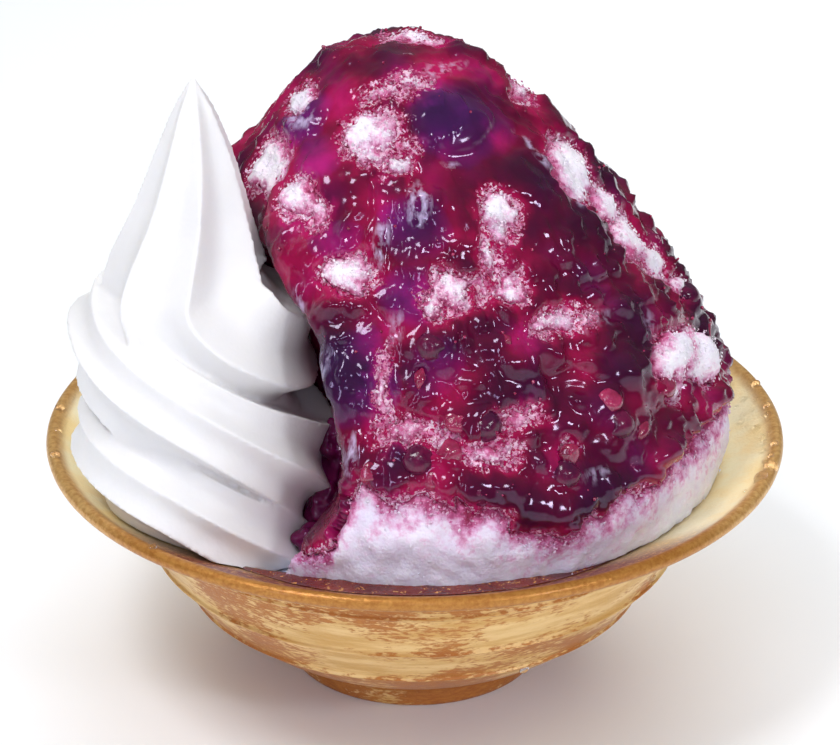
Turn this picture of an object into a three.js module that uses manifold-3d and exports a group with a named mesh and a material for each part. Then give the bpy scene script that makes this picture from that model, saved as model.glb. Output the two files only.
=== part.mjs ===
// Shaved ice dessert in its footed bowl: a tall mound of shaved ice under a thick berry sauce, with
// whole berries in the sauce and a piped swirl of soft serve set into its left front.
// Millimetres, +Z up. The origin is on the bowl's axis, on the surface that its foot stands on.
// The front is towards -Y. Azimuth 0 is +X and -90 is the front.
import * as THREE from 'three';
import { mergeVertices } from 'three/addons/utils/BufferGeometryUtils.js';
import Module from 'manifold-3d';

const wasm = await Module();
wasm.setup();

// Bowl
const rimRadius = 82.5;
const lipRadius = 1.7;
const lipHeight = 56;
const footRadius = 29.5;
const footHeight = 5;
const bowlSides = 42;

// Mound of shaved ice under its sauce: radius and height of the side, from the top down to the
// bowl's flange, and how far its middle stands to the right of the axis at a height
const moundSide = [
  [0, 145], [13, 142.6], [22, 136.8], [30, 129], [37.5, 119], [45.5, 108],
  [54.5, 94], [62.5, 80], [66.7, 68], [67.8, 59], [66.6, 51.4],
];
const moundLean = [[80, 1.6], [120, -0.6], [140, -2.2]];
const moundSides = 42;
const moundRings = 14;
const moundFoot = { radius: 40, height: 8 };
const reliefSizes = [[15, 1.5], [7, 0.9]];

// Berry sauce: its greatest depth, the slope from its edge to there, the height of its lower edge
// against azimuth, and the patches of bare ice in it as azimuth, height and radius
const sauceDepth = 2.6;
const sauceSlope = 0.55;
const sauceEdge = [
  [-180, 66], [-140, 63], [-108, 59], [-101, 65], [-96, 73], [-88, 72], [-76, 67], [-67, 61],
  [-57, 63], [-44, 65], [-30, 69], [-14, 71], [12, 65], [30, 70], [52, 61], [75, 69], [100, 64],
  [125, 70], [150, 62], [180, 66],
];
const barePatches = [
  [-105, 138, 8], [-129, 121, 6.5], [-108, 111, 5.5], [-62, 118, 6], [-77, 107, 5.5],
  [-95, 88, 5.5], [-74, 82, 5.5], [-56, 76, 5], [-12, 120, 5], [-8, 103, 6.5], [-18, 82, 7],
  [60, 124, 7], [36, 98, 8], [100, 94, 8], [150, 104, 8],
];

// Whole berries: azimuth, height, radius
const berries = [
  [-63.5, 73.5, 3.5], [-78, 85, 3.7], [-91, 79, 3.3], [-80, 73, 3.3], [-50, 80, 3.6],
  [-87, 99, 3.4], [-4, 89, 3.8], [48, 84, 3.6], [95, 100, 3.6], [146, 92, 3.5],
];

// Soft serve: its axis, the ridges that a star nozzle leaves on the rope's inner side, and the
// depth of the valleys between ridges that stand a usual angle apart, as a share of the radius
const swirlX = -44.8;
const swirlY = -27;
const innerRidges = 4;
const valleyDepth = 0.25;
const valleyPower = 0.85;
const usualAngle = 55;
const axisGap = 0.5;

// The degrees between sections of the coils, and how far each piece of them turns
const coilStep = 20;
const coilLength = 160;

// The rope coils up clockwise, seen from above. Against the degrees that it has turned from the
// right: how far its middle is from the axis, how high it is, its radius, and the angles above
// outward of its three outer ridges.
const coil = [
  [-20, 9, 31, 17, 20, -35, -80], [0, 9.5, 35.5, 17.2, 25, -28, -75],
  [60, 15, 51, 16.5, 45, 8, -30], [110, 15.8, 62.5, 15.3, 60, 26, -6],
  [180, 14.5, 68, 14.3, 76, 30, -4], [270, 13, 67, 15.5, 60, 10, -40],
  [360, 12.6, 62.8, 17.4, 29, -34, -80], [400, 14, 68, 17, 44, 0, -42],
  [450, 14.2, 78.5, 15.8, 60, 29, -5], [500, 14.4, 86.5, 15, 76, 46, 12],
  [540, 14.7, 90, 14.7, 92, 58, 24], [630, 11, 89.3, 15.6, 84, 42, -2],
  [720, 9.2, 88.6, 17, 78, 26, -27],
];

// Then it bends up into the peak. By step: x and y from the axis, height, radius, degrees turned,
// how far the section has tilted from upright to level, and the ridges' angles.
const peak = [
  [0, 9.2, 0, 88.6, 17, 720, 0, 78, 26, -27], [1, 7.8, -3.6, 89.5, 17.5, 745, 10, 84, 32, -20],
  [2, 4.6, -6, 92.2, 18.2, 770, 30, 92, 42, -10], [3, 0.6, -5.6, 97, 18.8, 792, 56, 102, 54, -4],
  [4, -2.4, -3.4, 103, 18.5, 806, 78, 110, 62, 1], [5, -2.4, -1.6, 108.4, 17, 810, 88, 114, 66, 6],
  [6, -1, -0.4, 119.5, 12.6, 810, 90, 116, 68, 10], [7, -0.2, 0, 130.5, 8.8, 810, 90, 118, 68, 12],
  [8, 0, 0, 140.7, 4.6, 810, 90, 118, 68, 13], [9, 0, 0, 147.4, 0.6, 810, 90, 118, 68, 13],
];

// The hollow in the mound that the soft serve stands in: its radius against height, and at the
// front how much further its right wall stands off, how much closer its foot comes, and how far
// out its open side reaches
const hollowFloor = 46;
const hollowRadii = [
  [46, 30.5], [54, 30.2], [62, 30], [74, 29.8], [84, 29.4], [92, 28.6], [99, 28],
  [104, 26.8], [107, 22.8], [110, 19.8], [116, 15.7], [122, 12.8], [150, 5],
];
const hollowFlare = 0.2;
const hollowBank = 0.3;
const hollowOpening = 75;

// Sauce on the hollow's wall: its depth, the height of its lower edge, how much lower that is
// beside the swirl, and the height over which it thickens
const wallSauce = { depth: 2.2, edge: 60, drop: 13, slope: 4 };

const gap = 0.3;
const turn = Math.PI * 2;
const degrees = Math.PI / 180;

// ---------- solids and booleans ----------

function toSolid(geometry) {
  const bare = geometry.index ? geometry.toNonIndexed() : geometry.clone();
  bare.deleteAttribute('normal');
  bare.deleteAttribute('uv');
  const merged = mergeVertices(bare, 1e-4);
  const mesh = new wasm.Mesh({
    numProp: 3,
    vertProperties: merged.attributes.position.array,
    triVerts: new Uint32Array(merged.index.array),
  });
  return new wasm.Manifold(mesh);
}

function toGeometry(solid) {
  const mesh = solid.getMesh();
  const position = new Float32Array(mesh.numVert * 3);
  for (let i = 0; i < mesh.numVert; i++) {
    position.set(mesh.vertProperties.subarray(i * mesh.numProp, i * mesh.numProp + 3), i * 3);
  }
  const geometry = new THREE.BufferGeometry();
  geometry.setAttribute('position', new THREE.BufferAttribute(position, 3));
  geometry.setIndex(new THREE.BufferAttribute(new Uint32Array(mesh.triVerts), 1));
  geometry.computeVertexNormals();
  return geometry;
}

// The largest body of a solid, without the scraps that a cut leaves.
function largest(solid) {
  const bodies = solid.decompose();
  return bodies.reduce((best, body) => (body.volume() > best.volume() ? body : best));
}

// A closed solid from rings of points: each ring is an array of Vector3, all of one length,
// running the same way round, and the solid is closed by a fan at each end.
function ringSolid(rings) {
  const sides = rings[0].length;
  const middle = (ring) => ring.reduce((sum, p) => sum.add(p), new THREE.Vector3()).divideScalar(sides);
  const points = [middle(rings[0]), ...rings.flat(), middle(rings.at(-1))];
  const last = points.length - 1;
  const index = [];
  for (let side = 0; side < sides; side++) {
    const next = (side + 1) % sides;
    index.push(0, 1 + side, 1 + next);
    for (let ring = 0; ring < rings.length - 1; ring++) {
      const a = 1 + ring * sides + side;
      const b = 1 + ring * sides + next;
      index.push(a, a + sides, b, b, a + sides, b + sides);
    }
    const end = 1 + (rings.length - 1) * sides;
    index.push(last, end + next, end + side);
  }
  const geometry = new THREE.BufferGeometry().setFromPoints(points);
  geometry.setIndex(index);
  return toSolid(geometry);
}

function latheSolid(profile, sides) {
  const geometry = new THREE.LatheGeometry(profile.map(([r, z]) => new THREE.Vector2(r, z)), sides);
  geometry.rotateX(Math.PI / 2);
  return toSolid(geometry);
}

// ---------- numbers ----------

function ease(from, to, x) {
  const t = Math.min(Math.max((x - from) / (to - from), 0), 1);
  return t * t * (3 - 2 * t);
}

// Smooth table: [[x, y], ...] with x rising.
function table(rows, x) {
  for (let i = 1; i < rows.length; i++) {
    const [x1, y1] = rows[i - 1];
    const [x2, y2] = rows[i];
    if (x <= x2) return y1 + (y2 - y1) * ease(x1, x2, x);
  }
  return rows.at(-1)[1];
}

// Smooth curve through rows of [x, values...] with x rising.
function curve(rows, x) {
  const found = rows.findIndex((row) => row[0] > x);
  const i = (found < 0 ? rows.length : Math.max(found, 1)) - 1;
  const low = Math.min(i, rows.length - 2);
  const slope = (at, column) => {
    const before = rows[Math.max(at - 1, 0)];
    const after = rows[Math.min(at + 1, rows.length - 1)];
    return (after[column] - before[column]) / (after[0] - before[0]);
  };
  const width = rows[low + 1][0] - rows[low][0];
  const s = (x - rows[low][0]) / width;
  return rows[low].slice(1).map((value, k) => {
    const next = rows[low + 1][k + 1];
    const lift = s * (1 - s) * width;
    const bend = lift * ((1 - s) * slope(low, k + 1) - s * slope(low + 1, k + 1));
    return value + (next - value) * ease(0, 1, s) + bend;
  });
}

function lattice(x, y, z) {
  const n = Math.sin(x * 127.1 + y * 311.7 + z * 74.7) * 43758.5453;
  return 2 * (n - Math.floor(n)) - 1;
}

// Smooth noise between -1 and 1, with bumps of about the given size.
function noise(point, size) {
  const at = point.clone().divideScalar(size);
  const low = at.clone().floor();
  const part = at.sub(low);
  let sum = 0;
  const weights = [part.x, part.y, part.z].map((t) => ease(0, 1, t));
  for (let corner = 0; corner < 8; corner++) {
    const step = [corner & 1, (corner >> 1) & 1, corner >> 2];
    const shares = weights.map((weight, axis) => (step[axis] ? weight : 1 - weight));
    const value = lattice(low.x + step[0], low.y + step[1], low.z + step[2]);
    sum += shares[0] * shares[1] * shares[2] * value;
  }
  return sum;
}

// ---------- bowl ----------

// Outside of the bowl from the middle of its base to the lip, then inside back to the middle.
const bowlOutside = [
  [0, 2.6], [24.6, 2.6], [25.4, 0], [28.9, 0], [footRadius, 0.7], [28.7, footHeight],
  [34.6, 8.0], [41.4, 12.2], [47.2, 16.8], [51.0, 21.0], [52.2, 21.4],
  [56.0, 27.0], [58.4, 31.0], [59.5, 31.4], [61.5, 37.0], [62.6, 42.0], [63.6, 42.4],
  [64.6, 46.0], [67.5, 48.6], [74.5, 51.2],
];
const bowlInside = [
  [75.5, 54.6], [71.5, 52.6], [67.0, 50.6], [63.4, 48.0],
  [59.5, 37.0], [53.0, 26.0], [42.0, 16.0], [24.0, 8.4], [0, 6.6],
];

// The rolled lip, as a stretch of a circle that joins the outside to the inside.
function lipArc(steps = 6, from = -75, to = 165) {
  return Array.from({ length: steps + 1 }, (_, i) => {
    const angle = (from + ((to - from) * i) / steps) * degrees;
    const radius = rimRadius - lipRadius + lipRadius * Math.cos(angle);
    return [radius, lipHeight + lipRadius * Math.sin(angle)];
  });
}

function bowlSolid() {
  return latheSolid([...bowlOutside, ...lipArc(), ...bowlInside], bowlSides);
}

// Everything above the bowl's inside surface and clear of it, up to a drum over the whole dessert.
function bowlSpace(drumRadius = 100, drumHeight = 200) {
  const clear = bowlInside.map(([r, z]) => [Math.max(r - gap, 0), z + gap]);
  const lipTop = [rimRadius - lipRadius, lipHeight + lipRadius + gap];
  const lipInside = [lipTop[0] - lipRadius - gap, lipTop[1] - 0.6];
  const above = [[0, drumHeight], [drumRadius, drumHeight], [drumRadius, lipTop[1]]];
  return latheSolid([...above, lipTop, lipInside, ...clear].reverse(), bowlSides);
}

// ---------- mound of ice ----------

const sideCurve = new THREE.SplineCurve(moundSide.map(([r, z]) => new THREE.Vector2(r, z)));

// A point of the mound's smooth dome. Polar is 0 at the top and 1 where the side meets the bowl.
function domePoint(azimuth, polar) {
  const { x: radius, y: height } = sideCurve.getPointAt(polar);
  const lean = table(moundLean, height);
  return new THREE.Vector3(lean + radius * Math.cos(azimuth), radius * Math.sin(azimuth), height);
}

function domeNormal(azimuth, polar) {
  const { x: out, y: up } = sideCurve.getTangentAt(Math.max(polar, 0.01));
  return new THREE.Vector3(-up * Math.cos(azimuth), -up * Math.sin(azimuth), out);
}

// Crags and hollows of the mound's outer surface, fading out at the bowl.
function relief(point, polar) {
  const fade = ease(1, 0.9, polar);
  return fade * reliefSizes.reduce((sum, [size, height]) => sum + height * noise(point, size), 0);
}

// The dome's point at an azimuth and height, both as the lists of places give them.
function placeOnDome(azimuth, height) {
  let low = 0;
  let high = 1;
  for (let i = 0; i < 20; i++) {
    const middle = (low + high) / 2;
    if (domePoint(0, middle).z > height) low = middle;
    else high = middle;
  }
  return { azimuth: azimuth * degrees, polar: low, point: domePoint(azimuth * degrees, low) };
}

const patches = barePatches.map(([azimuth, height, radius]) => {
  return { middle: placeOnDome(azimuth, height).point, radius };
});

// Depth of the sauce over the ice, which is negative where the ice is bare.
function sauceAt(point) {
  const azimuth = Math.atan2(point.y, point.x) / degrees;
  let inside = point.z - table(sauceEdge, azimuth);
  for (const { middle, radius } of patches) {
    inside = Math.min(inside, point.distanceTo(middle) - radius);
  }
  return Math.min(Math.max(inside * sauceSlope, -3), sauceDepth);
}

// The mound's outer surface, raised by a function of the smooth dome's point and closed far below.
function domeSolid(raise) {
  const around = (place) => {
    return Array.from({ length: moundSides }, (_, i) => place((turn * i) / moundSides));
  };
  const side = Array.from({ length: moundRings }, (_, i) => {
    const polar = (i + 1) / moundRings;
    return around((azimuth) => {
      const point = domePoint(azimuth, polar);
      const height = relief(point, polar) + raise(point);
      return point.addScaledVector(domeNormal(azimuth, polar), height);
    });
  });
  const { radius, height } = moundFoot;
  const foot = around((azimuth) => {
    return new THREE.Vector3(radius * Math.cos(azimuth), radius * Math.sin(azimuth), height);
  });
  return ringSolid([...side, foot]);
}

// Thickness of the sauce on the hollow's wall. It reaches lowest on the right, beside the swirl.
function hollowWall(height, angle) {
  const beside = ease(0.2, 0.6, Math.cos(angle)) * ease(-0.95, -0.6, Math.sin(angle));
  const edge = wallSauce.edge - wallSauce.drop * beside;
  return wallSauce.depth * ease(edge, edge + wallSauce.slope, height);
}

// The ice, grown by a given distance where sauce lies on it.
function iceSolid(grow = 0) {
  const body = domeSolid((point) => grow - Math.max(sauceAt(point), 0));
  const hollow = hollowSolid((height, angle) => grow - hollowWall(height, angle));
  return body.subtract(hollow).intersect(bowlSpace());
}

function sauceSolid() {
  const body = domeSolid((point) => Math.min(sauceAt(point), 0)).subtract(hollowSolid());
  return largest(body.intersect(bowlSpace()).subtract(iceSolid(gap)));
}

function berrySolid(azimuth, height, radius, grow = 0) {
  const place = placeOnDome(azimuth, height);
  const geometry = new THREE.IcosahedronGeometry(radius + grow, 1);
  const middle = place.point.addScaledVector(domeNormal(place.azimuth, place.polar), 0.1 * radius);
  geometry.translate(middle.x, middle.y, middle.z);
  return toSolid(geometry);
}

// ---------- soft serve ----------

// Points round a ridged section, as pairs of an angle from outward and a share of the radius,
// which is 1 at a ridge's sharp tip and least in the middle of the valley before the next.
function starPoints([top, middle, low], steps = 4) {
  const innerAngle = (360 - top + low) / (innerRidges + 1);
  const inner = Array.from({ length: innerRidges }, (_, i) => low - innerAngle * (i + 1));
  const ridges = [top, middle, low, ...inner, top - 360];
  return ridges.slice(0, -1).flatMap((ridge, k) => {
    const angle = ridge - ridges[k + 1];
    return Array.from({ length: steps }, (_, i) => {
      const valley = Math.sin((Math.PI * i) / steps) ** valleyPower;
      return [ridge - (angle * i) / steps, 1 - (valleyDepth * valley * angle) / usualAngle];
    });
  });
}

// One section of the rope, which stops just short of the axis where it would cross it.
function ropeSection(middle, turned, tilt, radius, ridges, inward = Infinity) {
  const azimuth = -turned * degrees;
  const outward = new THREE.Vector3(Math.cos(azimuth), Math.sin(azimuth), 0);
  const forward = new THREE.Vector3(Math.sin(azimuth), -Math.cos(azimuth), 0);
  const up = new THREE.Vector3(0, 0, Math.cos(tilt)).addScaledVector(forward, -Math.sin(tilt));
  return starPoints(ridges).map(([angle, share]) => {
    const out = Math.max(radius * share * Math.cos(angle * degrees), axisGap - inward);
    return middle.clone()
      .addScaledVector(outward, out)
      .addScaledVector(up, radius * share * Math.sin(angle * degrees));
  });
}

function coilPiece(from, to) {
  const rings = [];
  for (let turned = from; turned <= to; turned += coilStep) {
    const [reach, height, radius, ...ridges] = curve(coil, turned);
    const azimuth = -turned * degrees;
    const x = swirlX + reach * Math.cos(azimuth);
    const y = swirlY + reach * Math.sin(azimuth);
    rings.push(ropeSection(new THREE.Vector3(x, y, height), turned, 0, radius, ridges, reach));
  }
  return ringSolid(rings);
}

function peakPiece(steps = 17) {
  const rings = Array.from({ length: steps + 1 }, (_, i) => {
    const row = curve(peak, (i / steps) * peak.at(-1)[0]);
    const [x, y, height, radius, turned, tilt, ...ridges] = row;
    const middle = new THREE.Vector3(swirlX + x, swirlY + y, height);
    return ropeSection(middle, turned, tilt * degrees, radius, ridges);
  });
  return ringSolid(rings);
}

// Fills the middle of the coils.
function corePiece() {
  const solid = latheSolid([[0, 40], [20, 40], [18, 52], [10, 70], [8, 104], [0, 108]], 12);
  return solid.translate([swirlX, swirlY, 0]);
}

// The hollow, open to the front, where its right wall flares above the ice's foot.
// Inset is how much smaller it is than its named radii, as a function of height and of the angle
// about the swirl.
function hollowSolid(inset = () => 0, sides = 28) {
  const reachAt = (angle, radius, height) => {
    const front = -Math.sin(angle);
    if (front < 0.01) return radius;
    if (Math.cos(angle) < 0.01) return hollowOpening;
    const flare = hollowFlare * ease(58, 72, height) * ease(104, 90, height) * front ** 3;
    const bank = hollowBank * ease(76, 52, height) * front ** 2;
    return Math.min(hollowOpening, (radius * (1 + flare - bank)) / Math.cos(angle));
  };
  const rings = hollowRadii.map(([height, radius]) => Array.from({ length: sides }, (_, i) => {
    const angle = (turn * i) / sides;
    const reach = reachAt(angle, radius, height) - inset(height, angle);
    const floor = height === hollowFloor ? height + inset(height, angle) : height;
    const x = swirlX + reach * Math.cos(angle);
    const y = swirlY + reach * Math.sin(angle);
    return new THREE.Vector3(x, y, floor);
  }));
  return ringSolid(rings.reverse());
}

// The coils are joined from short pieces that overlap by a step, each free of itself.
function swirlSolid() {
  let solid = peakPiece().add(corePiece());
  const end = coil.at(-1)[0];
  for (let from = coil[0][0]; from < end; from += coilLength) {
    solid = solid.add(coilPiece(from, Math.min(from + coilLength + coilStep, end)));
  }
  return largest(solid.intersect(hollowSolid(() => gap)).intersect(bowlSpace()));
}

// ---------- the parts ----------

const dessert = new THREE.Group();

function addPart(name, solid, color, roughness, metalness = 0) {
  const material = new THREE.MeshStandardMaterial({ color, roughness, metalness });
  const mesh = new THREE.Mesh(toGeometry(solid), material);
  mesh.name = name;
  dessert.add(mesh);
}

let ice = iceSolid();
let sauce = sauceSolid();
for (const [azimuth, height, radius] of berries) {
  const socket = berrySolid(azimuth, height, radius, gap);
  ice = ice.subtract(socket);
  sauce = sauce.subtract(socket);
}

addPart('bowl', bowlSolid(), '#c89a4b', 0.35, 0.6);
addPart('shaved_ice', largest(ice), '#efe6f2', 0.8);
addPart('berry_sauce', largest(sauce), '#6d1240', 0.15);
addPart('soft_serve', swirlSolid(), '#fbfaf6', 0.5);
berries.forEach(([azimuth, height, radius], i) => {
  const name = `berry_${String(i + 1).padStart(2, '0')}`;
  addPart(name, berrySolid(azimuth, height, radius), '#2c1238', 0.3);
});

export default dessert;
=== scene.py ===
import bpy
import math
import numpy as np
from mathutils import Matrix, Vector


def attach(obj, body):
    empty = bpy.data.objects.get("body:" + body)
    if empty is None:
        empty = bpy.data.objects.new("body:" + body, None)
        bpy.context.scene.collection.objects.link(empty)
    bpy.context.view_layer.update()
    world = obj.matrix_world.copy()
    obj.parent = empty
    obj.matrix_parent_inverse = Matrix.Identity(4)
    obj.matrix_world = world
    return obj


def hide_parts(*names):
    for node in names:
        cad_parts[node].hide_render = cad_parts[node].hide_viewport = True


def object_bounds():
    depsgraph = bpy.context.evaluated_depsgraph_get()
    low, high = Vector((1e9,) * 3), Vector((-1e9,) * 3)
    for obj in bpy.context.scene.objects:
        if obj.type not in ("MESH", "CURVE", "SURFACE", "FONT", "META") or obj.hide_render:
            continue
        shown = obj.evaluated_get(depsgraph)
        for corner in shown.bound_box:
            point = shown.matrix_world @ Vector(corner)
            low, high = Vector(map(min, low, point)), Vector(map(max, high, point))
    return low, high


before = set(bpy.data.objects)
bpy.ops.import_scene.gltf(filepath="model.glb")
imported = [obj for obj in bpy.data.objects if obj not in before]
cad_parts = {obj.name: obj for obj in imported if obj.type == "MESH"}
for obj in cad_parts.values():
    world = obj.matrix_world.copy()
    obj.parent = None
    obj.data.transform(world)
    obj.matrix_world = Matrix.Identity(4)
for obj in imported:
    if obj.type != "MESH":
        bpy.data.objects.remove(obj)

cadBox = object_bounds()
mm = 0.001
random = np.random.default_rng(11)


# Numbers and noise, all in millimetres

def ease(low, high, x):
    t = np.clip((x - low) / (high - low), 0, 1)
    return t * t * (3 - 2 * t)


# Weights and scale of the two numbers that belong to each corner of the lattice
cornerSeeds = [((127.1, 311.7, 74.7), 43758.5453), ((269.5, 183.3, 246.1), 28001.83)]


def cornerNumber(corner, weights, scale):
    spin = np.sin(corner @ np.array(weights)) * scale
    return spin - np.floor(spin)


# Blends what valueAt gives for the eight corners round each point
def latticeSum(points, size, seed, blend, valueAt):
    at = np.asarray(points, float) / size + seed
    low = np.floor(at)
    part = at - low
    blended = blend(part)
    total = np.zeros(at.shape[:-1])
    for step in np.ndindex(2, 2, 2):
        share = np.ones(at.shape[:-1])
        for axis, on in enumerate(step):
            share = share * (blended[..., axis] if on else 1 - blended[..., axis])
        total += share * valueAt(low + np.array(step), part - np.array(step))
    return total


def noiseAt(points, size, seed=0.0):
    def height(corner, _):
        return 2 * cornerNumber(corner, *cornerSeeds[0]) - 1
    return latticeSum(points, size, seed, lambda part: part * part * (3 - 2 * part), height)


# Noise with a slope of its own at every corner of the lattice, for lumps and crags
def cragNoise(points, size, seed=0.0):
    def slope(corner, away):
        tall = 2 * cornerNumber(corner, *cornerSeeds[0]) - 1
        turn = 2 * np.pi * cornerNumber(corner, *cornerSeeds[1])
        flat = np.sqrt(1 - tall ** 2)
        return flat * np.cos(turn) * away[..., 0] + flat * np.sin(turn) * away[..., 1] + tall * away[..., 2]
    return 1.6 * latticeSum(points, size, seed, lambda part: part ** 3 * (part * (part * 6 - 15) + 10), slope)


def warped(points, size, amount, seed=0.0):
    shift = np.stack([cragNoise(points, size, seed + 31 * axis) for axis in range(3)], -1)
    return points + amount * shift


# A smooth curve through rows of [x, values...]
def smoothRows(rows, x):
    rows = np.array(rows, float)
    knots, values = rows[:, 0], rows[:, 1:]
    slopes = np.zeros_like(values)
    slopes[1:-1] = (values[2:] - values[:-2]) / (knots[2:] - knots[:-2])[:, None]
    slopes[0] = (values[1] - values[0]) / (knots[1] - knots[0])
    slopes[-1] = (values[-1] - values[-2]) / (knots[-1] - knots[-2])
    i = np.clip(np.searchsorted(knots, x, side="right") - 1, 0, len(knots) - 2)
    width = (knots[i + 1] - knots[i])[:, None]
    s = (x - knots[i])[:, None] / width
    return ((2 * s ** 3 - 3 * s ** 2 + 1) * values[i] + (s ** 3 - 2 * s ** 2 + s) * width * slopes[i]
            + (3 * s ** 2 - 2 * s ** 3) * values[i + 1] + (s ** 3 - s ** 2) * width * slopes[i + 1])


# Goes from row to row of [x, value], level at each of them
def stepTable(rows, x):
    rows = np.array(rows, float)
    i = np.clip(np.searchsorted(rows[:, 0], x, side="left") - 1, 0, len(rows) - 2)
    return rows[i, 1] + (rows[i + 1, 1] - rows[i, 1]) * ease(rows[i, 0], rows[i + 1, 0], x)


# Distance along a line of points, from its first one
def lengthsAlong(points):
    return np.concatenate([[0], np.cumsum(np.linalg.norm(np.diff(points, axis=0), axis=1))])


def polarPoints(radius, angle, height):
    return np.stack(np.broadcast_arrays(radius * np.cos(angle), radius * np.sin(angle), height), -1)


# Meshes and pieces

def makeMesh(name, points, quads, triangles=()):
    mesh = bpy.data.meshes.new(name)
    faces = [tuple(face) for rows in (quads, triangles) for face in np.asarray(rows).tolist()]
    mesh.from_pydata((np.asarray(points) * mm).tolist(), [], faces)
    mesh.update()
    return mesh


def makePiece(name, mesh, material, nodes=(), smooth=True):
    piece = bpy.data.objects.new(name, mesh)
    bpy.context.scene.collection.objects.link(piece)
    mesh.materials.append(material)
    mesh.shade_smooth() if smooth else mesh.shade_flat()
    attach(piece, "root")
    if nodes:
        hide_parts(*nodes)


def storeValue(mesh, name, values):
    layer = mesh.attributes.new(name, "FLOAT", "POINT")
    layer.data.foreach_set("value", np.asarray(values, np.float32).ravel())


# Quads of a grid of rows by columns that closes round its columns, with a fan at each end
def ringFaces(rows, columns, first, last):
    i, j = np.meshgrid(np.arange(rows - 1), np.arange(columns), indexing="ij")
    k = (j + 1) % columns
    corners = [i * columns + j, (i + 1) * columns + j, (i + 1) * columns + k, i * columns + k]
    quads = np.stack(corners, -1).reshape(-1, 4)
    j = np.arange(columns)
    k = (j + 1) % columns
    start = np.stack([np.full(columns, first), j, k], -1)
    end = np.stack([np.full(columns, last), (rows - 1) * columns + k, (rows - 1) * columns + j], -1)
    return quads, np.concatenate([start, end])


def closedGrid(grid):
    rows, columns, _ = grid.shape
    points = np.concatenate([grid.reshape(-1, 3), [grid[0].mean(0)], [grid[-1].mean(0)]])
    quads, fans = ringFaces(rows, columns, rows * columns, rows * columns + 1)
    return points, quads, fans


# One mesh from the points, quads and fans of several closed grids
def joinedMesh(name, grids):
    starts = np.cumsum([0] + [len(points) for points, _, _ in grids])
    return makeMesh(name, np.concatenate([points for points, _, _ in grids]),
                    np.concatenate([quads + start for (_, quads, _), start in zip(grids, starts)]),
                    np.concatenate([fans + start for (_, _, fans), start in zip(grids, starts)]))


def gridNormals(grid):
    across = np.roll(grid, -1, 1) - np.roll(grid, 1, 1)
    down = np.empty_like(grid)
    down[1:-1] = grid[2:] - grid[:-2]
    down[0] = grid[1] - grid[0]
    down[-1] = grid[-1] - grid[-2]
    normals = np.cross(down, across)
    return normals / np.maximum(np.linalg.norm(normals, axis=-1, keepdims=True), 1e-9)


def ballGrid(rows, columns):
    polar = np.linspace(0, np.pi, rows + 2)[1:-1, None]
    around = np.linspace(0, 2 * np.pi, columns, endpoint=False)
    return polarPoints(np.sin(polar), around, np.cos(polar))


def turnTo(grid, normal):
    rotation = Vector((0, 0, 1)).rotation_difference(Vector(normal)).to_matrix()
    return grid @ np.array(rotation).T


# Shader helpers

# A new material, with the values that are the same all over its surface
def newMaterial(name, constants):
    material = bpy.data.materials.new(name)
    material.use_nodes = True
    shader = material.node_tree.nodes["Principled BSDF"]
    for socket, value in constants.items():
        shader.inputs[socket].default_value = value
    return material, material.node_tree, shader


def setSocket(tree, socket, value):
    if isinstance(value, bpy.types.NodeSocket):
        tree.links.new(value, socket)
    else:
        socket.default_value = value


# Inputs are given by name, or as n0, n1 and so on by number
def addNode(tree, kind, settings=None, **inputs):
    node = tree.nodes.new(kind)
    for key, value in (settings or {}).items():
        setattr(node, key, value)
    for key, value in inputs.items():
        numbered = key[0] == "n" and key[1:].isdigit()
        setSocket(tree, node.inputs[int(key[1:]) if numbered else key.replace("_", " ")], value)
    return node


def rampNode(tree, value, stops):
    ramp = addNode(tree, "ShaderNodeValToRGB", n0=value)
    while len(ramp.color_ramp.elements) < len(stops):
        ramp.color_ramp.elements.new(0.5)
    for element, (place, color) in zip(ramp.color_ramp.elements, stops):
        element.position = place
        element.color = (*color, 1)
    return ramp.outputs["Color"]


def greyRamp(tree, value, low, high, start=0, end=1):
    return rampNode(tree, value, [(start, (low,) * 3), (end, (high,) * 3)])


def maskRamp(tree, value, start, end):
    return greyRamp(tree, value, 0, 1, start, end)


def mathNode(tree, operation, a, b):
    return addNode(tree, "ShaderNodeMath", {"operation": operation}, n0=a, n1=b).outputs[0]


def plus(tree, a, b):
    return mathNode(tree, "ADD", a, b)


def times(tree, a, b):
    return mathNode(tree, "MULTIPLY", a, b)


# Runs between its two ends while the given value goes over the span
def spanNode(tree, value, span, easing="SMOOTHSTEP", ends=(0, 1)):
    return addNode(tree, "ShaderNodeMapRange", {"interpolation_type": easing}, Value=value, From_Min=span[0],
                   From_Max=span[1], To_Min=ends[0], To_Max=ends[1]).outputs["Result"]


def mixColor(tree, share, a, b, blend="MIX"):
    node = addNode(tree, "ShaderNodeMix", {"data_type": "RGBA", "blend_type": blend}, n0=share)
    for socket, value in ((node.inputs[6], a), (node.inputs[7], b)):
        setSocket(tree, socket, value if isinstance(value, bpy.types.NodeSocket) else (*value, 1))
    return node.outputs[2]


def meshValue(tree, name):
    return addNode(tree, "ShaderNodeAttribute", {"attribute_name": name}).outputs["Fac"]


def objectPlace(tree, stretch=None):
    place = addNode(tree, "ShaderNodeTexCoord").outputs["Object"]
    if stretch is not None:
        place = addNode(tree, "ShaderNodeMapping", Vector=place, Scale=stretch).outputs["Vector"]
    return place


def feed(tree, shader, socket, value):
    tree.links.new(value, shader.inputs[socket])


def bumpInto(tree, shader, height, distance, strength):
    bump = addNode(tree, "ShaderNodeBump", Height=height, Distance=distance, Strength=strength)
    feed(tree, shader, "Normal", bump.outputs["Normal"])


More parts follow.
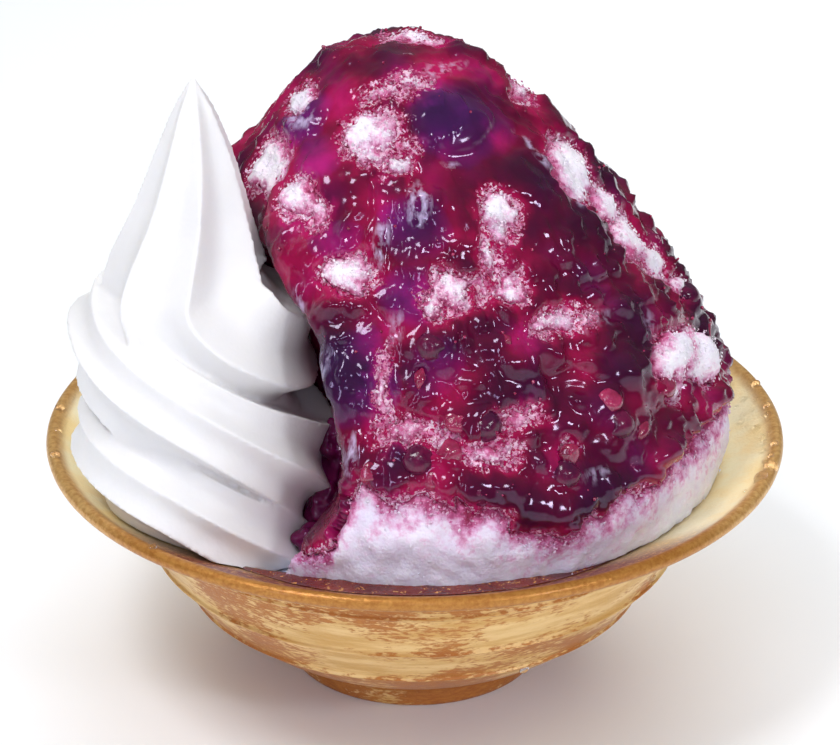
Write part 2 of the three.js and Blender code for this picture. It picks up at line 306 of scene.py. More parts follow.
# A node group with a Vector and the given numbers as inputs, and one number as its output
def newGroup(name, numbers, output):
    tree = bpy.data.node_groups.new(name, "ShaderNodeTree")
    tree.interface.new_socket("Vector", in_out="INPUT", socket_type="NodeSocketVector")
    for key, value in numbers.items():
        tree.interface.new_socket(key, in_out="INPUT", socket_type="NodeSocketFloat").default_value = value
    tree.interface.new_socket(output, in_out="OUTPUT", socket_type="NodeSocketFloat")
    return tree, tree.nodes.new("NodeGroupInput").outputs, tree.nodes.new("NodeGroupOutput").inputs[output]


# Shared effect: blotches of a given size, as a value that runs from 0 to 1
def mottleGroup():
    tree, source, result = newGroup("mottle", {"Scale": 100, "Low": 0.35, "High": 0.65}, "Value")
    noise = addNode(tree, "ShaderNodeTexNoise", Vector=source["Vector"], Scale=source["Scale"], Detail=5.0,
                    Roughness=0.6)
    tree.links.new(spanNode(tree, noise.outputs["Fac"], (source["Low"], source["High"])), result)
    return tree


# Shared effect: height of small crystals or grains, from cells of one size over noise of another
def crystalGroup():
    tree, source, result = newGroup("crystals", {"Scale": 900, "Roughness": 0.5}, "Height")
    cells = addNode(tree, "ShaderNodeTexVoronoi", Vector=source["Vector"], Scale=source["Scale"])
    fine = times(tree, source["Scale"], 0.6)
    noise = addNode(tree, "ShaderNodeTexNoise", Vector=source["Vector"], Scale=fine, Detail=4.0,
                    Roughness=source["Roughness"])
    height = mathNode(tree, "SUBTRACT", noise.outputs["Fac"], times(tree, cells.outputs["Distance"], 0.6))
    tree.links.new(height, result)
    return tree


mottle = mottleGroup()
crystals = crystalGroup()


def mottleNode(tree, vector, scale, low=0.3, high=0.7):
    return addNode(tree, "ShaderNodeGroup", {"node_tree": mottle}, Vector=vector, Scale=scale, Low=low,
                   High=high).outputs[0]


def crystalNode(tree, vector, scale, roughness=0.5):
    return addNode(tree, "ShaderNodeGroup", {"node_tree": crystals}, Vector=vector, Scale=scale,
                   Roughness=roughness).outputs[0]


# Bowl: a lathed shell with a rolled lip and thin raised rings on its body

bowl = {
    "rimRadius": 82.24, "lipRadius": 1.7, "lipHeight": 56.0, "lipTurn": (-75, 165), "lipSteps": 14,
    "columns": 256, "spacing": 0.75, "smoothing": 2,
    "outside": [(0, 2.6), (24.6, 2.6), (25.4, 0.05), (28.9, 0.05), (29.4, 0.7), (28.7, 5.0), (34.6, 8.0),
                (41.4, 12.2), (47.2, 16.8), (51.6, 21.2), (56.0, 27.0), (58.9, 31.2), (61.5, 37.0),
                (63.1, 42.2), (64.6, 46.0), (67.5, 48.6), (74.5, 51.2)],
    # the place in outside from which the body slopes up
    "bodyStart": 5,
    "inside": [(75.5, 54.6), (71.5, 52.6), (67.0, 50.6), (63.4, 48.0), (59.5, 37.0), (53.0, 26.0), (42.0, 16.0),
               (24.0, 8.4), (0, 6.6)],
    # height and how far proud
    "rings": [(20.6, 1.0), (31.2, 0.9), (42.4, 0.8)],
    "ringWidth": 0.45, "ringReach": 1.2,
    "uneven": 0.10, "unevenSize": 30.0,
}
insideRows = np.array(bowl["inside"])[::-1]


def lipArc():
    angles = np.radians(np.linspace(*bowl["lipTurn"], bowl["lipSteps"] + 1))
    size = bowl["lipRadius"]
    middle = np.array([bowl["rimRadius"] - size, bowl["lipHeight"]])
    return middle + size * np.stack([np.cos(angles), np.sin(angles)], 1)


def insideHeight(radius):
    return np.interp(radius, insideRows[:, 0], insideRows[:, 1])


def insideRadius(height):
    return np.interp(height, insideRows[:, 1], insideRows[:, 0])


def makeBowl(material):
    profile = np.concatenate([bowl["outside"], lipArc(), bowl["inside"]])
    length = lengthsAlong(profile)
    body = slice(bowl["bodyStart"], len(bowl["outside"]))
    places = np.linspace(0, length[-1], int(length[-1] / bowl["spacing"]))[1:-1]
    for height, _ in bowl["rings"]:
        middle = np.interp(height, profile[body, 1], length[body])
        places = np.append(places, middle + np.linspace(-bowl["ringReach"], bowl["ringReach"], 9))
    places = np.unique(places)
    line = np.stack([np.interp(places, length, profile[:, 0]), np.interp(places, length, profile[:, 1])], 1)
    for _ in range(bowl["smoothing"]):
        line[1:-1] = line[1:-1] * 0.5 + (line[2:] + line[:-2]) * 0.25
    # the rings stand on the body alone, not on the foot or the inside
    sloped = (places > 40) & (line[:, 0] > 30) & (places < length[body][-1])
    for height, proud in bowl["rings"]:
        line[:, 0] += sloped * proud * np.exp(-((line[:, 1] - height) / bowl["ringWidth"]) ** 2)
    angles = np.linspace(0, 2 * np.pi, bowl["columns"], endpoint=False)
    grid = polarPoints(line[:, None, 0], angles, line[:, None, 1])
    onBody = ease(6, 12, grid[..., 2]) * ease(56, 50, grid[..., 2])
    uneven = bowl["uneven"] * noiseAt(grid, bowl["unevenSize"], 3.1) * onBody
    grid[..., :2] *= (1 + uneven / np.maximum(np.linalg.norm(grid[..., :2], axis=-1), 20))[..., None]
    points, quads, fans = closedGrid(grid)
    mesh = makeMesh("bowlShell", points, quads[:, ::-1], fans[:, ::-1])
    makePiece("bowlShell", mesh, material, ["bowl"])


glaze = {
    # in metres: heights over which the brushed body starts, slope that parts outside from inside, radii over
    # which the lip starts, depths over which the front starts, heights over which the brown grows
    "body": (0.0525, 0.0485), "outside": (-0.0215, -0.0225), "slope": 0.78, "lip": (0.0772, 0.0800),
    "front": (-0.040, -0.062), "browner": (0.034, 0.002), "brown": (0.53, 0.67),
    # each finish goes from one colour to another in blotches
    "cream": [(0.65, 0.375, 0.105), (0.83, 0.58, 0.25)], "rust": [(0.36, 0.10, 0.013), (0.54, 0.21, 0.034)],
    # the flange's bright gold is partly its own colour and partly a painted highlight; its dark red-brown front
    # is a painted reflection of the sauce
    "flange": [(1.0, 0.78, 0.36), (1.0, 0.92, 0.60)], "paintedRedReflection": [(0.20, 0.020, 0.010), (0.55, 0.25, 0.06)],
    # painted light: the same lip gold, painted lighter at the sides and darker at the front
    "sideLipPaintedLighter": [(0.60, 0.30, 0.08), (0.80, 0.50, 0.18)], "frontLipPaintedDarker": [(0.40, 0.15, 0.022), (0.54, 0.25, 0.05)],
    "flangeMetal": 0.06, "lipMetal": 0.5, "bodyMetal": 0.15,
}


def goldGlaze():
    material, tree, shader = newMaterial("goldGlaze", {"Coat Weight": 0.12, "Coat Roughness": 0.15})
    place = objectPlace(tree)
    parts = addNode(tree, "ShaderNodeSeparateXYZ", Vector=place).outputs
    level = addNode(tree, "ShaderNodeVectorMath", {"operation": "MULTIPLY"}, n0=place, n1=(1, 1, 0)).outputs[0]
    radius = addNode(tree, "ShaderNodeVectorMath", {"operation": "LENGTH"}, n0=level).outputs["Value"]
    # the lip, flange and inside are unbrushed gold, with a painted highlight and a painted reflection on the
    # flange and painted light on the lip; the body below them is brushed
    outer = mathNode(tree, "SUBTRACT", times(tree, parts["Z"], glaze["slope"]), radius)
    outer = spanNode(tree, outer, glaze["outside"], "LINEAR")
    body = times(tree, spanNode(tree, parts["Z"], glaze["body"]), outer)
    patches = mottleNode(tree, objectPlace(tree, (1, 1, 2.2)), 42.0, 0.25, 0.75)
    strokes = mottleNode(tree, objectPlace(tree, (1, 1, 4)), 480.0, 0.2, 0.8)
    browner = spanNode(tree, parts["Z"], glaze["browner"], "LINEAR", (-0.02, 0.30))
    share = plus(tree, times(tree, patches, 0.55), times(tree, strokes, 0.45))
    brown = maskRamp(tree, plus(tree, share, browner), *glaze["brown"])
    cream = mixColor(tree, mottleNode(tree, objectPlace(tree, (1, 1, 9)), 60.0, 0.35, 0.65), *glaze["cream"])
    bodyColor = mixColor(tree, brown, cream, mixColor(tree, strokes, *glaze["rust"]))
    grain = mottleNode(tree, place, 900.0)
    lip = spanNode(tree, radius, glaze["lip"])
    front = spanNode(tree, parts["Y"], glaze["front"])
    # painted light: a painted highlight on the flange's gold at the sides, a painted reflection of the sauce at
    # its front
    flange = mixColor(tree, front, mixColor(tree, mottleNode(tree, place, 55.0, 0.35, 0.65), *glaze["flange"]),
                      mixColor(tree, maskRamp(tree, grain, 0.62, 0.8), *glaze["paintedRedReflection"]))
    # painted light: the lip is painted lighter at its sides and darker at its front
    sideLipPaintedLighter = mixColor(tree, grain, *glaze["sideLipPaintedLighter"])
    frontLipPaintedDarker = mixColor(tree, grain, *glaze["frontLipPaintedDarker"])
    lipGold = mixColor(tree, front, sideLipPaintedLighter, frontLipPaintedDarker)
    feed(tree, shader, "Base Color", mixColor(tree, body, mixColor(tree, lip, flange, lipGold), bodyColor))
    plainMetal = mixColor(tree, lip, (glaze["flangeMetal"],) * 3, (glaze["lipMetal"],) * 3)
    feed(tree, shader, "Metallic", mixColor(tree, body, plainMetal, (glaze["bodyMetal"],) * 3))
    feed(tree, shader, "Roughness", plus(tree, times(tree, strokes, 0.14), 0.34))
    height = plus(tree, times(tree, strokes, 0.5), crystalNode(tree, place, 1400.0))
    bumpInto(tree, shader, height, 0.00016, 0.6)
    return material


makeBowl(goldGlaze())
print("bowl made")


# Mound: one dome, which the ice and the sauce over it share

dome = {
    "side": [(0, 145), (13, 142.6), (22, 136.8), (30, 129), (37.5, 119), (45.5, 108), (54.5, 94), (62.5, 80),
             (66.7, 68), (67.8, 59), (66.6, 51.4)],
    # height and how far the axis stands to the right there
    "lean": [(80, 1.6), (120, -0.6), (140, -2.2)],
    # size and height of the broad lumps
    "relief": [(15, 1.5), (7, 0.9)],
    # more of the columns stand at the front
    "columns": 440, "rows": 152, "crowd": 0.5, "samples": 1500,
}
hollow = {
    "axis": (-44.8, -27.0),
    # height and radius
    "rows": [(46, 30.5), (54, 31), (62, 31.6), (74, 31.4), (80, 30.2), (87, 28.8), (92, 27.6), (98, 26.2),
             (102, 23.4), (105, 19.4), (109, 16), (115, 13.6), (122, 11.4), (150, 5)],
    # how far the ice comes in front of the swirl, and the heights over which it does
    "bank": 0.68, "bankHeights": (69, 49), "farEdge": 75.0,
    # azimuth round which rays are tried, how far to each side and how far out, their steps and halvings
    "middle": -140, "spread": 85, "farthest": 80.0, "step": 2.0, "halvings": 7,
    # how far the mound's wall stands back, heights of its runs and lumps, and how softly it starts
    "gap": 1.2, "runs": 1.3, "lumps": 0.5, "softness": 2.0,
}
sauceBed = {
    # azimuth, height of the sauce's lower edge
    "edge": [(-180, 66), (-150, 64), (-125, 60), (-112, 58), (-108, 58), (-104.8, 60), (-103.5, 70),
             (-99, 74.5), (-96, 72), (-92.8, 71.6), (-89.5, 72.3), (-86.5, 71.7), (-83.2, 70), (-80, 68),
             (-77, 69), (-74, 67.8), (-72.5, 64.7), (-69, 63), (-65.8, 61.7), (-61.5, 62.1), (-57, 63.5),
             (-52.8, 65.2), (-45.5, 64.7), (-39, 66.4), (-32, 67.7), (-25, 68.7), (-18, 69.5), (12, 65),
             (30, 70), (52, 61), (75, 69), (100, 64), (125, 70), (150, 62), (180, 66)],
    # azimuth, height, half width, half height of the places left bare
    "bare": [(-108, 133.4, 5.4, 6.2), (-95, 131, 4.6, 4.6), (-83, 142.4, 3.6, 2.2), (-103, 140.4, 4.2, 1.8),
             (-129, 121.5, 4.6, 4.6), (-122, 119.6, 3.4, 2.6), (-155, 124, 7, 6.4), (-165, 136, 5, 4),
             (-107.5, 110.7, 5, 4.6), (-61.5, 120, 4.8, 5.6), (-68, 113.6, 1.7, 3.6), (-65, 108.4, 3.4, 3),
             (-79, 108, 6.2, 3.4), (-84, 106.4, 3, 3.4), (0, 135, 5, 3), (-17, 122, 8.6, 7.6),
             (-12, 113, 5.6, 4.6), (-13, 106, 7.4, 5.6), (-8.5, 99, 5.6, 5), (-6, 91.5, 4, 3),
             (-55, 100, 6.6, 2.6), (-98, 91, 1.9, 6.6), (-93, 84.5, 5, 2.5), (-86, 83, 2.4, 1.8),
             (-70.5, 85.2, 4.6, 2.2), (-77, 80.4, 4.6, 2.3), (-62.2, 77.4, 2.0, 1.8), (-28, 85.4, 7.4, 5.8),
             (-18, 82, 6.4, 6.4), (-31, 80, 3, 2.4), (60, 124, 7, 6), (36, 98, 8, 6), (100, 94, 8, 7),
             (150, 104, 8, 7), (80, 144, 6, 4), (43, 144, 4, 3)],
    # azimuth, height, half width, half height of tongues of sauce in the bare places
    "tongues": [(-94.5, 132.4, 3.4, 1.1), (-76, 106.2, 2.4, 1.1), (-57, 116.6, 2.0, 1.6), (-25, 81, 2.0, 1.4)],
    "depth": 2.4,
    # size, amount and seed of the bends in its edges, and size, height and seed of their raggedness
    "bends": [(9.0, 1.8, 5.2), (3.8, 1.7, 9.1)], "ragged": [(1.7, 0.9, 3.3), (0.9, 0.5, 1.3)],
}
noHollow = 200.0


def sideCurve():
    points = np.array(dome["side"], float)
    last = len(points) - 1
    samples = []
    for t in np.linspace(0, last, dome["samples"]):
        i = min(int(t), last - 1)
        s = t - i
        p0, p1, p2, p3 = points[max(i - 1, 0)], points[i], points[i + 1], points[min(i + 2, last)]
        v0, v1 = (p2 - p0) / 2, (p3 - p1) / 2
        cubic, square = 2 * p1 - 2 * p2 + v0 + v1, -3 * p1 + 3 * p2 - 2 * v0 - v1
        samples.append(cubic * s ** 3 + square * s ** 2 + v0 * s + p1)
    samples = np.array(samples)
    length = lengthsAlong(samples)
    return samples, length / length[-1]


sideSamples, sideShare = sideCurve()


# Radius and height at a share of the way down the dome's side
def sideAt(share):
    return np.interp(share, sideShare, sideSamples[:, 0]), np.interp(share, sideShare, sideSamples[:, 1])


def domeAt(azimuth, polar, step=0.004):
    radius, height = sideAt(polar)
    (radiusAfter, heightAfter), (radiusBefore, heightBefore) = sideAt(polar + step), sideAt(polar - step)
    out, down = radiusAfter - radiusBefore, heightAfter - heightBefore
    size = np.hypot(out, down)
    point = polarPoints(radius, azimuth, height)
    point[..., 0] += stepTable(dome["lean"], height)
    return point, polarPoints(-down / size, azimuth, out / size)


def placeAt(azimuthDegrees, height):
    polar = np.interp(-np.asarray(height, float), -sideSamples[:, 1], sideShare)
    return domeAt(np.radians(np.asarray(azimuthDegrees, float)), polar)


# True inside the hollow that the soft serve stands in
def inHollow(x, y, z):
    dx, dy = x - hollow["axis"][0], y - hollow["axis"][1]
    radius = np.interp(z, *np.array(hollow["rows"], float).T)
    away = np.maximum(np.hypot(dx, dy), 1e-6)
    front = np.clip(-dy / away, 0, 1)
    beside = radius * (1 - hollow["bank"] * ease(*hollow["bankHeights"], z) * front ** 2)
    besideReach = np.where(dx < 0.01 * away, hollow["farEdge"], beside * away / np.maximum(dx, 1e-6))
    return (away < np.where(dy > 0, radius, besideReach)) & (z > hollow["rows"][0][0])


# Distance from the dome's axis at which a level ray in an azimuth meets the hollow
def hollowRadiusAt(azimuth, height):
    near = np.abs((np.degrees(azimuth) + 200) % 360 - 200 - hollow["middle"]) < hollow["spread"]
    dx, dy = np.cos(azimuth)[near], np.sin(azimuth)[near]
    high, lean = height[near], stepTable(dome["lean"], height)[near]
    first = np.full(lean.shape, noHollow)
    for r in np.arange(0, hollow["farthest"], hollow["step"])[::-1]:
        first = np.where(inHollow(lean + r * dx, r * dy, high), r, first)
    outer, inner = first, np.maximum(first - hollow["step"], 0)
    for _ in range(hollow["halvings"]):
        middle = (inner + outer) / 2
        within = inHollow(lean + middle * dx, middle * dy, high)
        outer = np.where(within, middle, outer)
        inner = np.where(within, inner, middle)
    found = np.full(azimuth.shape, noHollow)
    found[near] = np.where(first < noHollow, outer, noHollow)
    return found


# A place on the dome, with its normal and the level and upward directions there
def surfaceAxes(azimuthDegrees, height):
    middle, normal = placeAt(azimuthDegrees, height)
    azimuth = math.radians(azimuthDegrees)
    level = np.array([-math.sin(azimuth), math.cos(azimuth), 0])
    return middle, normal, level, np.cross(normal, level)


# Distance from a place on the dome, as 1 at the rim of an oval round it
def ovalDistance(point, azimuthDegrees, height, wide, tall):
    middle, normal, level, up = surfaceAxes(azimuthDegrees, height)
    away = point - middle
    across, along, out = away @ level / wide, away @ up / tall, away @ normal / max(wide, tall)
    return np.sqrt(across ** 2 + along ** 2 + out ** 2)


# Signed distance to the sauce's edge: above 0 where sauce lies
def sauceInside(point):
    bent = point
    for size, amount, seed in sauceBed["bends"]:
        bent = warped(bent, size, amount, seed)
    ragged = sum(height * cragNoise(point, size, seed) for size, height, seed in sauceBed["ragged"])
    azimuth = np.degrees(np.arctan2(bent[..., 1], bent[..., 0]))
    inside = (bent[..., 2] - stepTable(sauceBed["edge"], azimuth)) * 0.9 + ragged
    for *place, wide, tall in sauceBed["bare"]:
        inside = np.minimum(inside, (ovalDistance(bent, *place, wide, tall) - 1) * min(wide, tall) + ragged)
    for *place, wide, tall in sauceBed["tongues"]:
        inside = np.maximum(inside, (1 - ovalDistance(bent, *place, wide, tall)) * min(wide, tall) + ragged)
    return inside


def moundBase():
    share = np.linspace(0, 1, dome["columns"], endpoint=False)
    azimuth = -np.pi / 2 + 2 * np.pi * share - dome["crowd"] * np.sin(2 * np.pi * share)
    azimuth, polar = np.meshgrid(azimuth, np.linspace(0, 1, dome["rows"] + 1)[1:])
    smooth, normal = domeAt(azimuth, polar)
    relief = ease(1, 0.9, polar) * sum(height * noiseAt(smooth, size) for size, height in dome["relief"])
    grid = smooth + normal * relief[..., None]
    # the columns are drawn in to the hollow's wall, softly where the two meet
    lean = stepTable(dome["lean"], grid[..., 2])
    radius = np.hypot(grid[..., 0] - lean, grid[..., 1])
    runs = cragNoise(smooth * np.array([1, 1, 0.35]), 5.0, 2.0)
    wall = hollowRadiusAt(azimuth, grid[..., 2]) + hollow["gap"] + hollow["runs"] * runs
    wall = wall + hollow["lumps"] * cragNoise(smooth, 4.0, 6.0)
    small = -hollow["softness"] * np.logaddexp(-radius / hollow["softness"], -wall / hollow["softness"])
    factor = np.where(radius > 1e-6, small / np.maximum(radius, 1e-6), 1)
    grid[..., 0] = lean + (grid[..., 0] - lean) * factor
    grid[..., 1] *= factor
    return azimuth, smooth, grid, ease(-1.0, 2.5, radius - wall)


azimuths, smoothDome, moundGrid, onWall = moundBase()
moundNormals = gridNormals(moundGrid)
swirlAngle = np.arctan2(moundGrid[..., 1] - hollow["axis"][1], moundGrid[..., 0] - hollow["axis"][0])
wallEdge = 60 - 13 * ease(0.2, 0.6, np.cos(swirlAngle)) * ease(-0.95, -0.6, np.sin(swirlAngle))
inside = sauceInside(smoothDome) * (1 - onWall) + np.minimum(moundGrid[..., 2] - wallEdge, 6) * onWall
print("mound laid out")


# Closes the mound's grid with rows that follow the bowl, and under the swirl its hollow's floor
def closeMound(surface):
    azimuth = azimuths[-1]
    floor = hollow["rows"][0][0]
    last = np.hypot(surface[-1, :, 0], surface[-1, :, 1])
    rows = [surface]
    for height, share in iceLooks["under"]:
        shell = insideRadius(height) - 0.6
        wall = hollowRadiusAt(azimuth, np.full(azimuth.shape, max(height, floor + 0.2)))
        radius = np.minimum(wall + (shell - wall) * share, shell)
        if height > 47:
            radius = np.minimum(radius, last + 0.5)
        radius = np.where(wall == noHollow, shell, radius)
        lumps = 0.45 * noiseAt(polarPoints(radius, azimuth, 0.0), 3.0, 4.4) if 0 < share < 1 else 0
        rows.append(polarPoints(radius, azimuth, height + lumps)[None])
    return np.concatenate(rows)


# Draws cells of the mound's grid from those allowed, as much likelier as their favours say
def drawCells(surface, allowed, favours, count):
    weight = np.hypot(surface[..., 0], surface[..., 1]) * (1 - dome["crowd"] * np.cos(azimuths + np.pi / 2))
    for favour in favours:
        weight = weight * favour
    cells, weight = np.argwhere(allowed), weight[allowed]
    return cells[random.choice(len(cells), count, p=weight / weight.sum())].T


# Shaved ice: the grainy mound itself, raised a little where it is bare

iceLooks = {
    # size and height
    "grain": [(6.0, 0.9), (2.8, 0.6), (1.3, 0.35)], "bulge": 0.8,
    # azimuth, height, radius and rise of the bare clods at the right
    "clods": [(-30, 86.5, 6.0, 2.4), (-22, 86, 5.4, 3.0), (-15, 81, 5.2, 3.6), (-11, 85, 3.8, 2.6),
              (-26, 81, 3.8, 1.4)],
    # how far the sauce's red goes into the ice, low down and higher up, and how far it varies
    "fringe": (4.4, 1.8), "fringeVaries": 0.7,
    # share of the sauce's red, and what it makes of the ice's colour
    "stains": [(0.0, (1.0, 1.0, 1.0)), (0.25, (1.0, 0.92, 0.96)), (0.5, (0.86, 0.46, 0.64)),
               (0.72, (0.60, 0.11, 0.27)), (1.0, (0.34, 0.008, 0.07))],
    # angle and reach of each flake's corners
    "flakeCorners": [(0, 0.7), (1.9, 0.5), (3.4, 0.65), (4.9, 0.45)],
    "flakes": 17000, "flakeSize": (0.22, 0.75), "scatter": 0.35,
    # height, and share of the way from the hollow's wall out to the bowl, of the rows under the mound
    "under": [(49.4, 0), (47.6, 0), (46.4, 0), *((46.1, share) for share in np.linspace(0.12, 1, 9)),
              (40, 1), (24, 1)],
}


def clodHeights(point):
    high = np.zeros(point.shape[:-1])
    for azimuth, height, radius, rise in iceLooks["clods"]:
        away = np.linalg.norm(point - placeAt(azimuth, height)[0], axis=-1) / radius
        high = np.maximum(high, rise * np.sqrt(np.clip(1 - away ** 2, 0, 1)))
    return high


# Share of the sauce's red in the ice
def iceStainAt(height):
    reach = np.where(height < 75, *iceLooks["fringe"])
    reach = reach * (1 + iceLooks["fringeVaries"] * cragNoise(smoothDome, 5.0, 2.4))
    stain = np.exp(-np.maximum(-inside, 0) / np.maximum(reach, 0.4))
    low = ease(60, 52, height) * ease(-80, -100, np.degrees(azimuths))
    stain = np.maximum(stain, low * (0.3 + 0.5 * cragNoise(smoothDome, 4.0, 8.2)))
    return np.maximum(stain, onWall * 0.4)


def makeIce(material):
    height = smoothDome[..., 2]
    bare = ease(0.8, -1.4, inside)
    clods = clodHeights(warped(warped(smoothDome, 6.0, 2.2), 2.4, 0.8, 3.7))
    bulge = iceLooks["bulge"] * ease(0, -4, inside) * ease(72, 80, height)
    grain = sum(tall * cragNoise(smoothDome, size, 11.0 + size) for size, tall in iceLooks["grain"])
    calm = 0.55 + 0.45 * ease(66, 76, height) * ease(0.6, 0.0, clods)
    sunk = sauceBed["depth"] * (1 - bare)
    surface = moundGrid + moundNormals * (bare * (grain * calm + bulge + clods) - sunk)[..., None]
    # the lowest part stays inside the bowl
    widest = insideRadius(surface[..., 2]) - 0.4
    radius = np.hypot(surface[..., 0], surface[..., 1])
    tooWide = (surface[..., 2] < 54) & (radius > widest)
    surface[..., :2] *= np.where(tooWide, widest / np.maximum(radius, 1e-6), 1)[..., None]
    stain = iceStainAt(height)
    points, quads, fans = closedGrid(closeMound(surface))
    mesh = makeMesh("iceMound", points, quads, fans)
    storeValue(mesh, "stain", np.append(stain.ravel(), np.full(len(points) - stain.size, 0.04)))
    makePiece("iceMound", mesh, material, ["shaved_ice"])
    return surface, stain


# Loose flakes over the bare ice and a little way over the sauce's edges
def makeFlakes(surface, stain, material):
    allowed = (inside < 0.9) & (onWall < 0.3) & (surface[..., 2] > 51.6)
    nearEdge = np.where(inside > -2.2, 1.6, 0.5)
    fewLow = np.where((surface[..., 2] < 70) & (inside < -3.5), 0.04, 1)
    i, j = drawCells(surface, allowed, [nearEdge, fewLow], iceLooks["flakes"])
    count = len(i)
    normal = moundNormals[i, j]
    ground = np.where((inside[i, j] > 0)[:, None], moundGrid[i, j] + 0.1 * normal, surface[i, j])
    middle = ground + random.normal(0, iceLooks["scatter"], (count, 3))
    size = random.uniform(*iceLooks["flakeSize"], count)[:, None]
    across = np.cross(normal, random.normal(0, 1, (count, 3)))
    across /= np.linalg.norm(across, axis=1, keepdims=True)
    side = np.cross(normal, across)
    lift = random.uniform(-0.1, 0.5, (count, 1)) * size
    tilt = random.uniform(-0.5, 0.9, (count, 1))
    corners = []
    for angle, reach in iceLooks["flakeCorners"]:
        turnBy = angle + random.uniform(-0.3, 0.3, (count, 1))
        outward = np.cos(turnBy) * across + np.sin(turnBy) * (side + tilt * normal)
        corners.append(middle + size * reach * outward + normal * lift)
    corners.append(middle + normal * (lift + size * 0.32))
    corners.append(middle + normal * (lift - size * 0.28))
    points = np.stack(corners, 1).reshape(-1, 3)
    shape = np.array([(0, 1, 4), (1, 2, 4), (2, 3, 4), (3, 0, 4), (1, 0, 5), (2, 1, 5), (3, 2, 5), (0, 3, 5)])
    faces = (np.arange(count)[:, None, None] * len(corners) + shape[None]).reshape(-1, 3)
    mesh = makeMesh("iceFlakes", points, np.zeros((0, 4), int), faces)
    tint = stain[i, j] * random.uniform(0.55, 1.1, count)
    storeValue(mesh, "stain", np.repeat(np.clip(tint, 0, 1), len(corners)))
    makePiece("iceFlakes", mesh, material, smooth=False)


def iceMaterial():
    material, tree, shader = newMaterial("shavedIce", {
        "Subsurface Weight": 0.35, "Subsurface Radius": (0.9, 0.8, 1.0), "Subsurface Scale": 0.0025})
    place = objectPlace(tree)
    speck = mottleNode(tree, place, 700.0)
    blotch = mottleNode(tree, place, 160.0)
    uneven = plus(tree, meshValue(tree, "stain"), times(tree, plus(tree, speck, -0.5), 0.30))
    uneven = plus(tree, uneven, times(tree, plus(tree, blotch, -0.5), 0.22))
    paintedRedReflection = rampNode(tree, uneven, iceLooks["stains"])
    # the ice is duller and bluer towards the bowl; the blue nearest the bowl is painted to cancel the warm
    # light that the gold bounces onto it
    height = addNode(tree, "ShaderNodeSeparateXYZ", Vector=place).outputs["Z"]
    band = spanNode(tree, height, (0.080, 0.068), "LINEAR")
    snow = mixColor(tree, blotch, mixColor(tree, band, (0.84, 0.81, 0.89), (0.74, 0.69, 0.82)),
                    mixColor(tree, band, (0.93, 0.91, 0.95), (0.88, 0.86, 0.94)))
    paintedCoolNearBowl = times(tree, spanNode(tree, height, (0.063, 0.050), "LINEAR"), 0.8)
    snow = mixColor(tree, paintedCoolNearBowl, snow, (0.74, 0.82, 1.0))
    feed(tree, shader, "Base Color", mixColor(tree, 1.0, snow, paintedRedReflection, "MULTIPLY"))
    feed(tree, shader, "Roughness", greyRamp(tree, speck, 0.28, 0.7))
    bumpInto(tree, shader, crystalNode(tree, place, 1500.0, 0.6), 0.0004, 0.5)
    return material


snowMaterial = iceMaterial()
iceSurface, iceStain = makeIce(snowMaterial)
makeFlakes(iceSurface, iceStain, snowMaterial)
print("ice made")


# Whole berries and pieces of fruit in the sauce

berries = {
    # azimuth, height and radius, here and in chunks
    "places": [(-63.5, 73.5, 3.5), (-78, 85, 3.7), (-91, 79, 3.3), (-80, 73, 3.3), (-50, 80, 3.6),
               (-87, 99, 3.4), (-4, 89, 3.8), (48, 84, 3.6), (95, 100, 3.6), (146, 92, 3.5)],
    # width and depth of the crown's dent, then place, width and rise of the dent's rim
    "crown": (0.30, 0.13), "crownRim": (0.45, 0.10, 0.05), "sides": 28, "uneven": 0.12, "sunk": 0.05,
    "chunks": [(-83.5, 86.0, 3.0), (-85, 79.7, 2.8), (-62.2, 77.4, 2.0), (-51, 84.5, 3.2), (-44, 88, 2.4),
               (-90, 93.5, 1.7), (-99.5, 76, 2.0), (-88, 75.5, 2.2), (-4, 82, 3.0), (-45, 77, 2.4),
               (-34, 82, 2.6), (-70, 99, 1.8), (12, 96, 3.0), (40, 74, 3.0), (70, 80, 3.0), (120, 78, 3.2),
               (160, 84, 3.0), (172, 74, 3.0), (90, 118, 2.6), (20, 122, 2.4)],
    "facets": 9, "facetReach": (0.62, 0.95), "chunkStretch": (0.7, 1.35), "rounding": 0.06,
    "bubbles": 500,
}


# Berry sauce: a thick glossy skin with lumps of fruit under it, drips and ripples

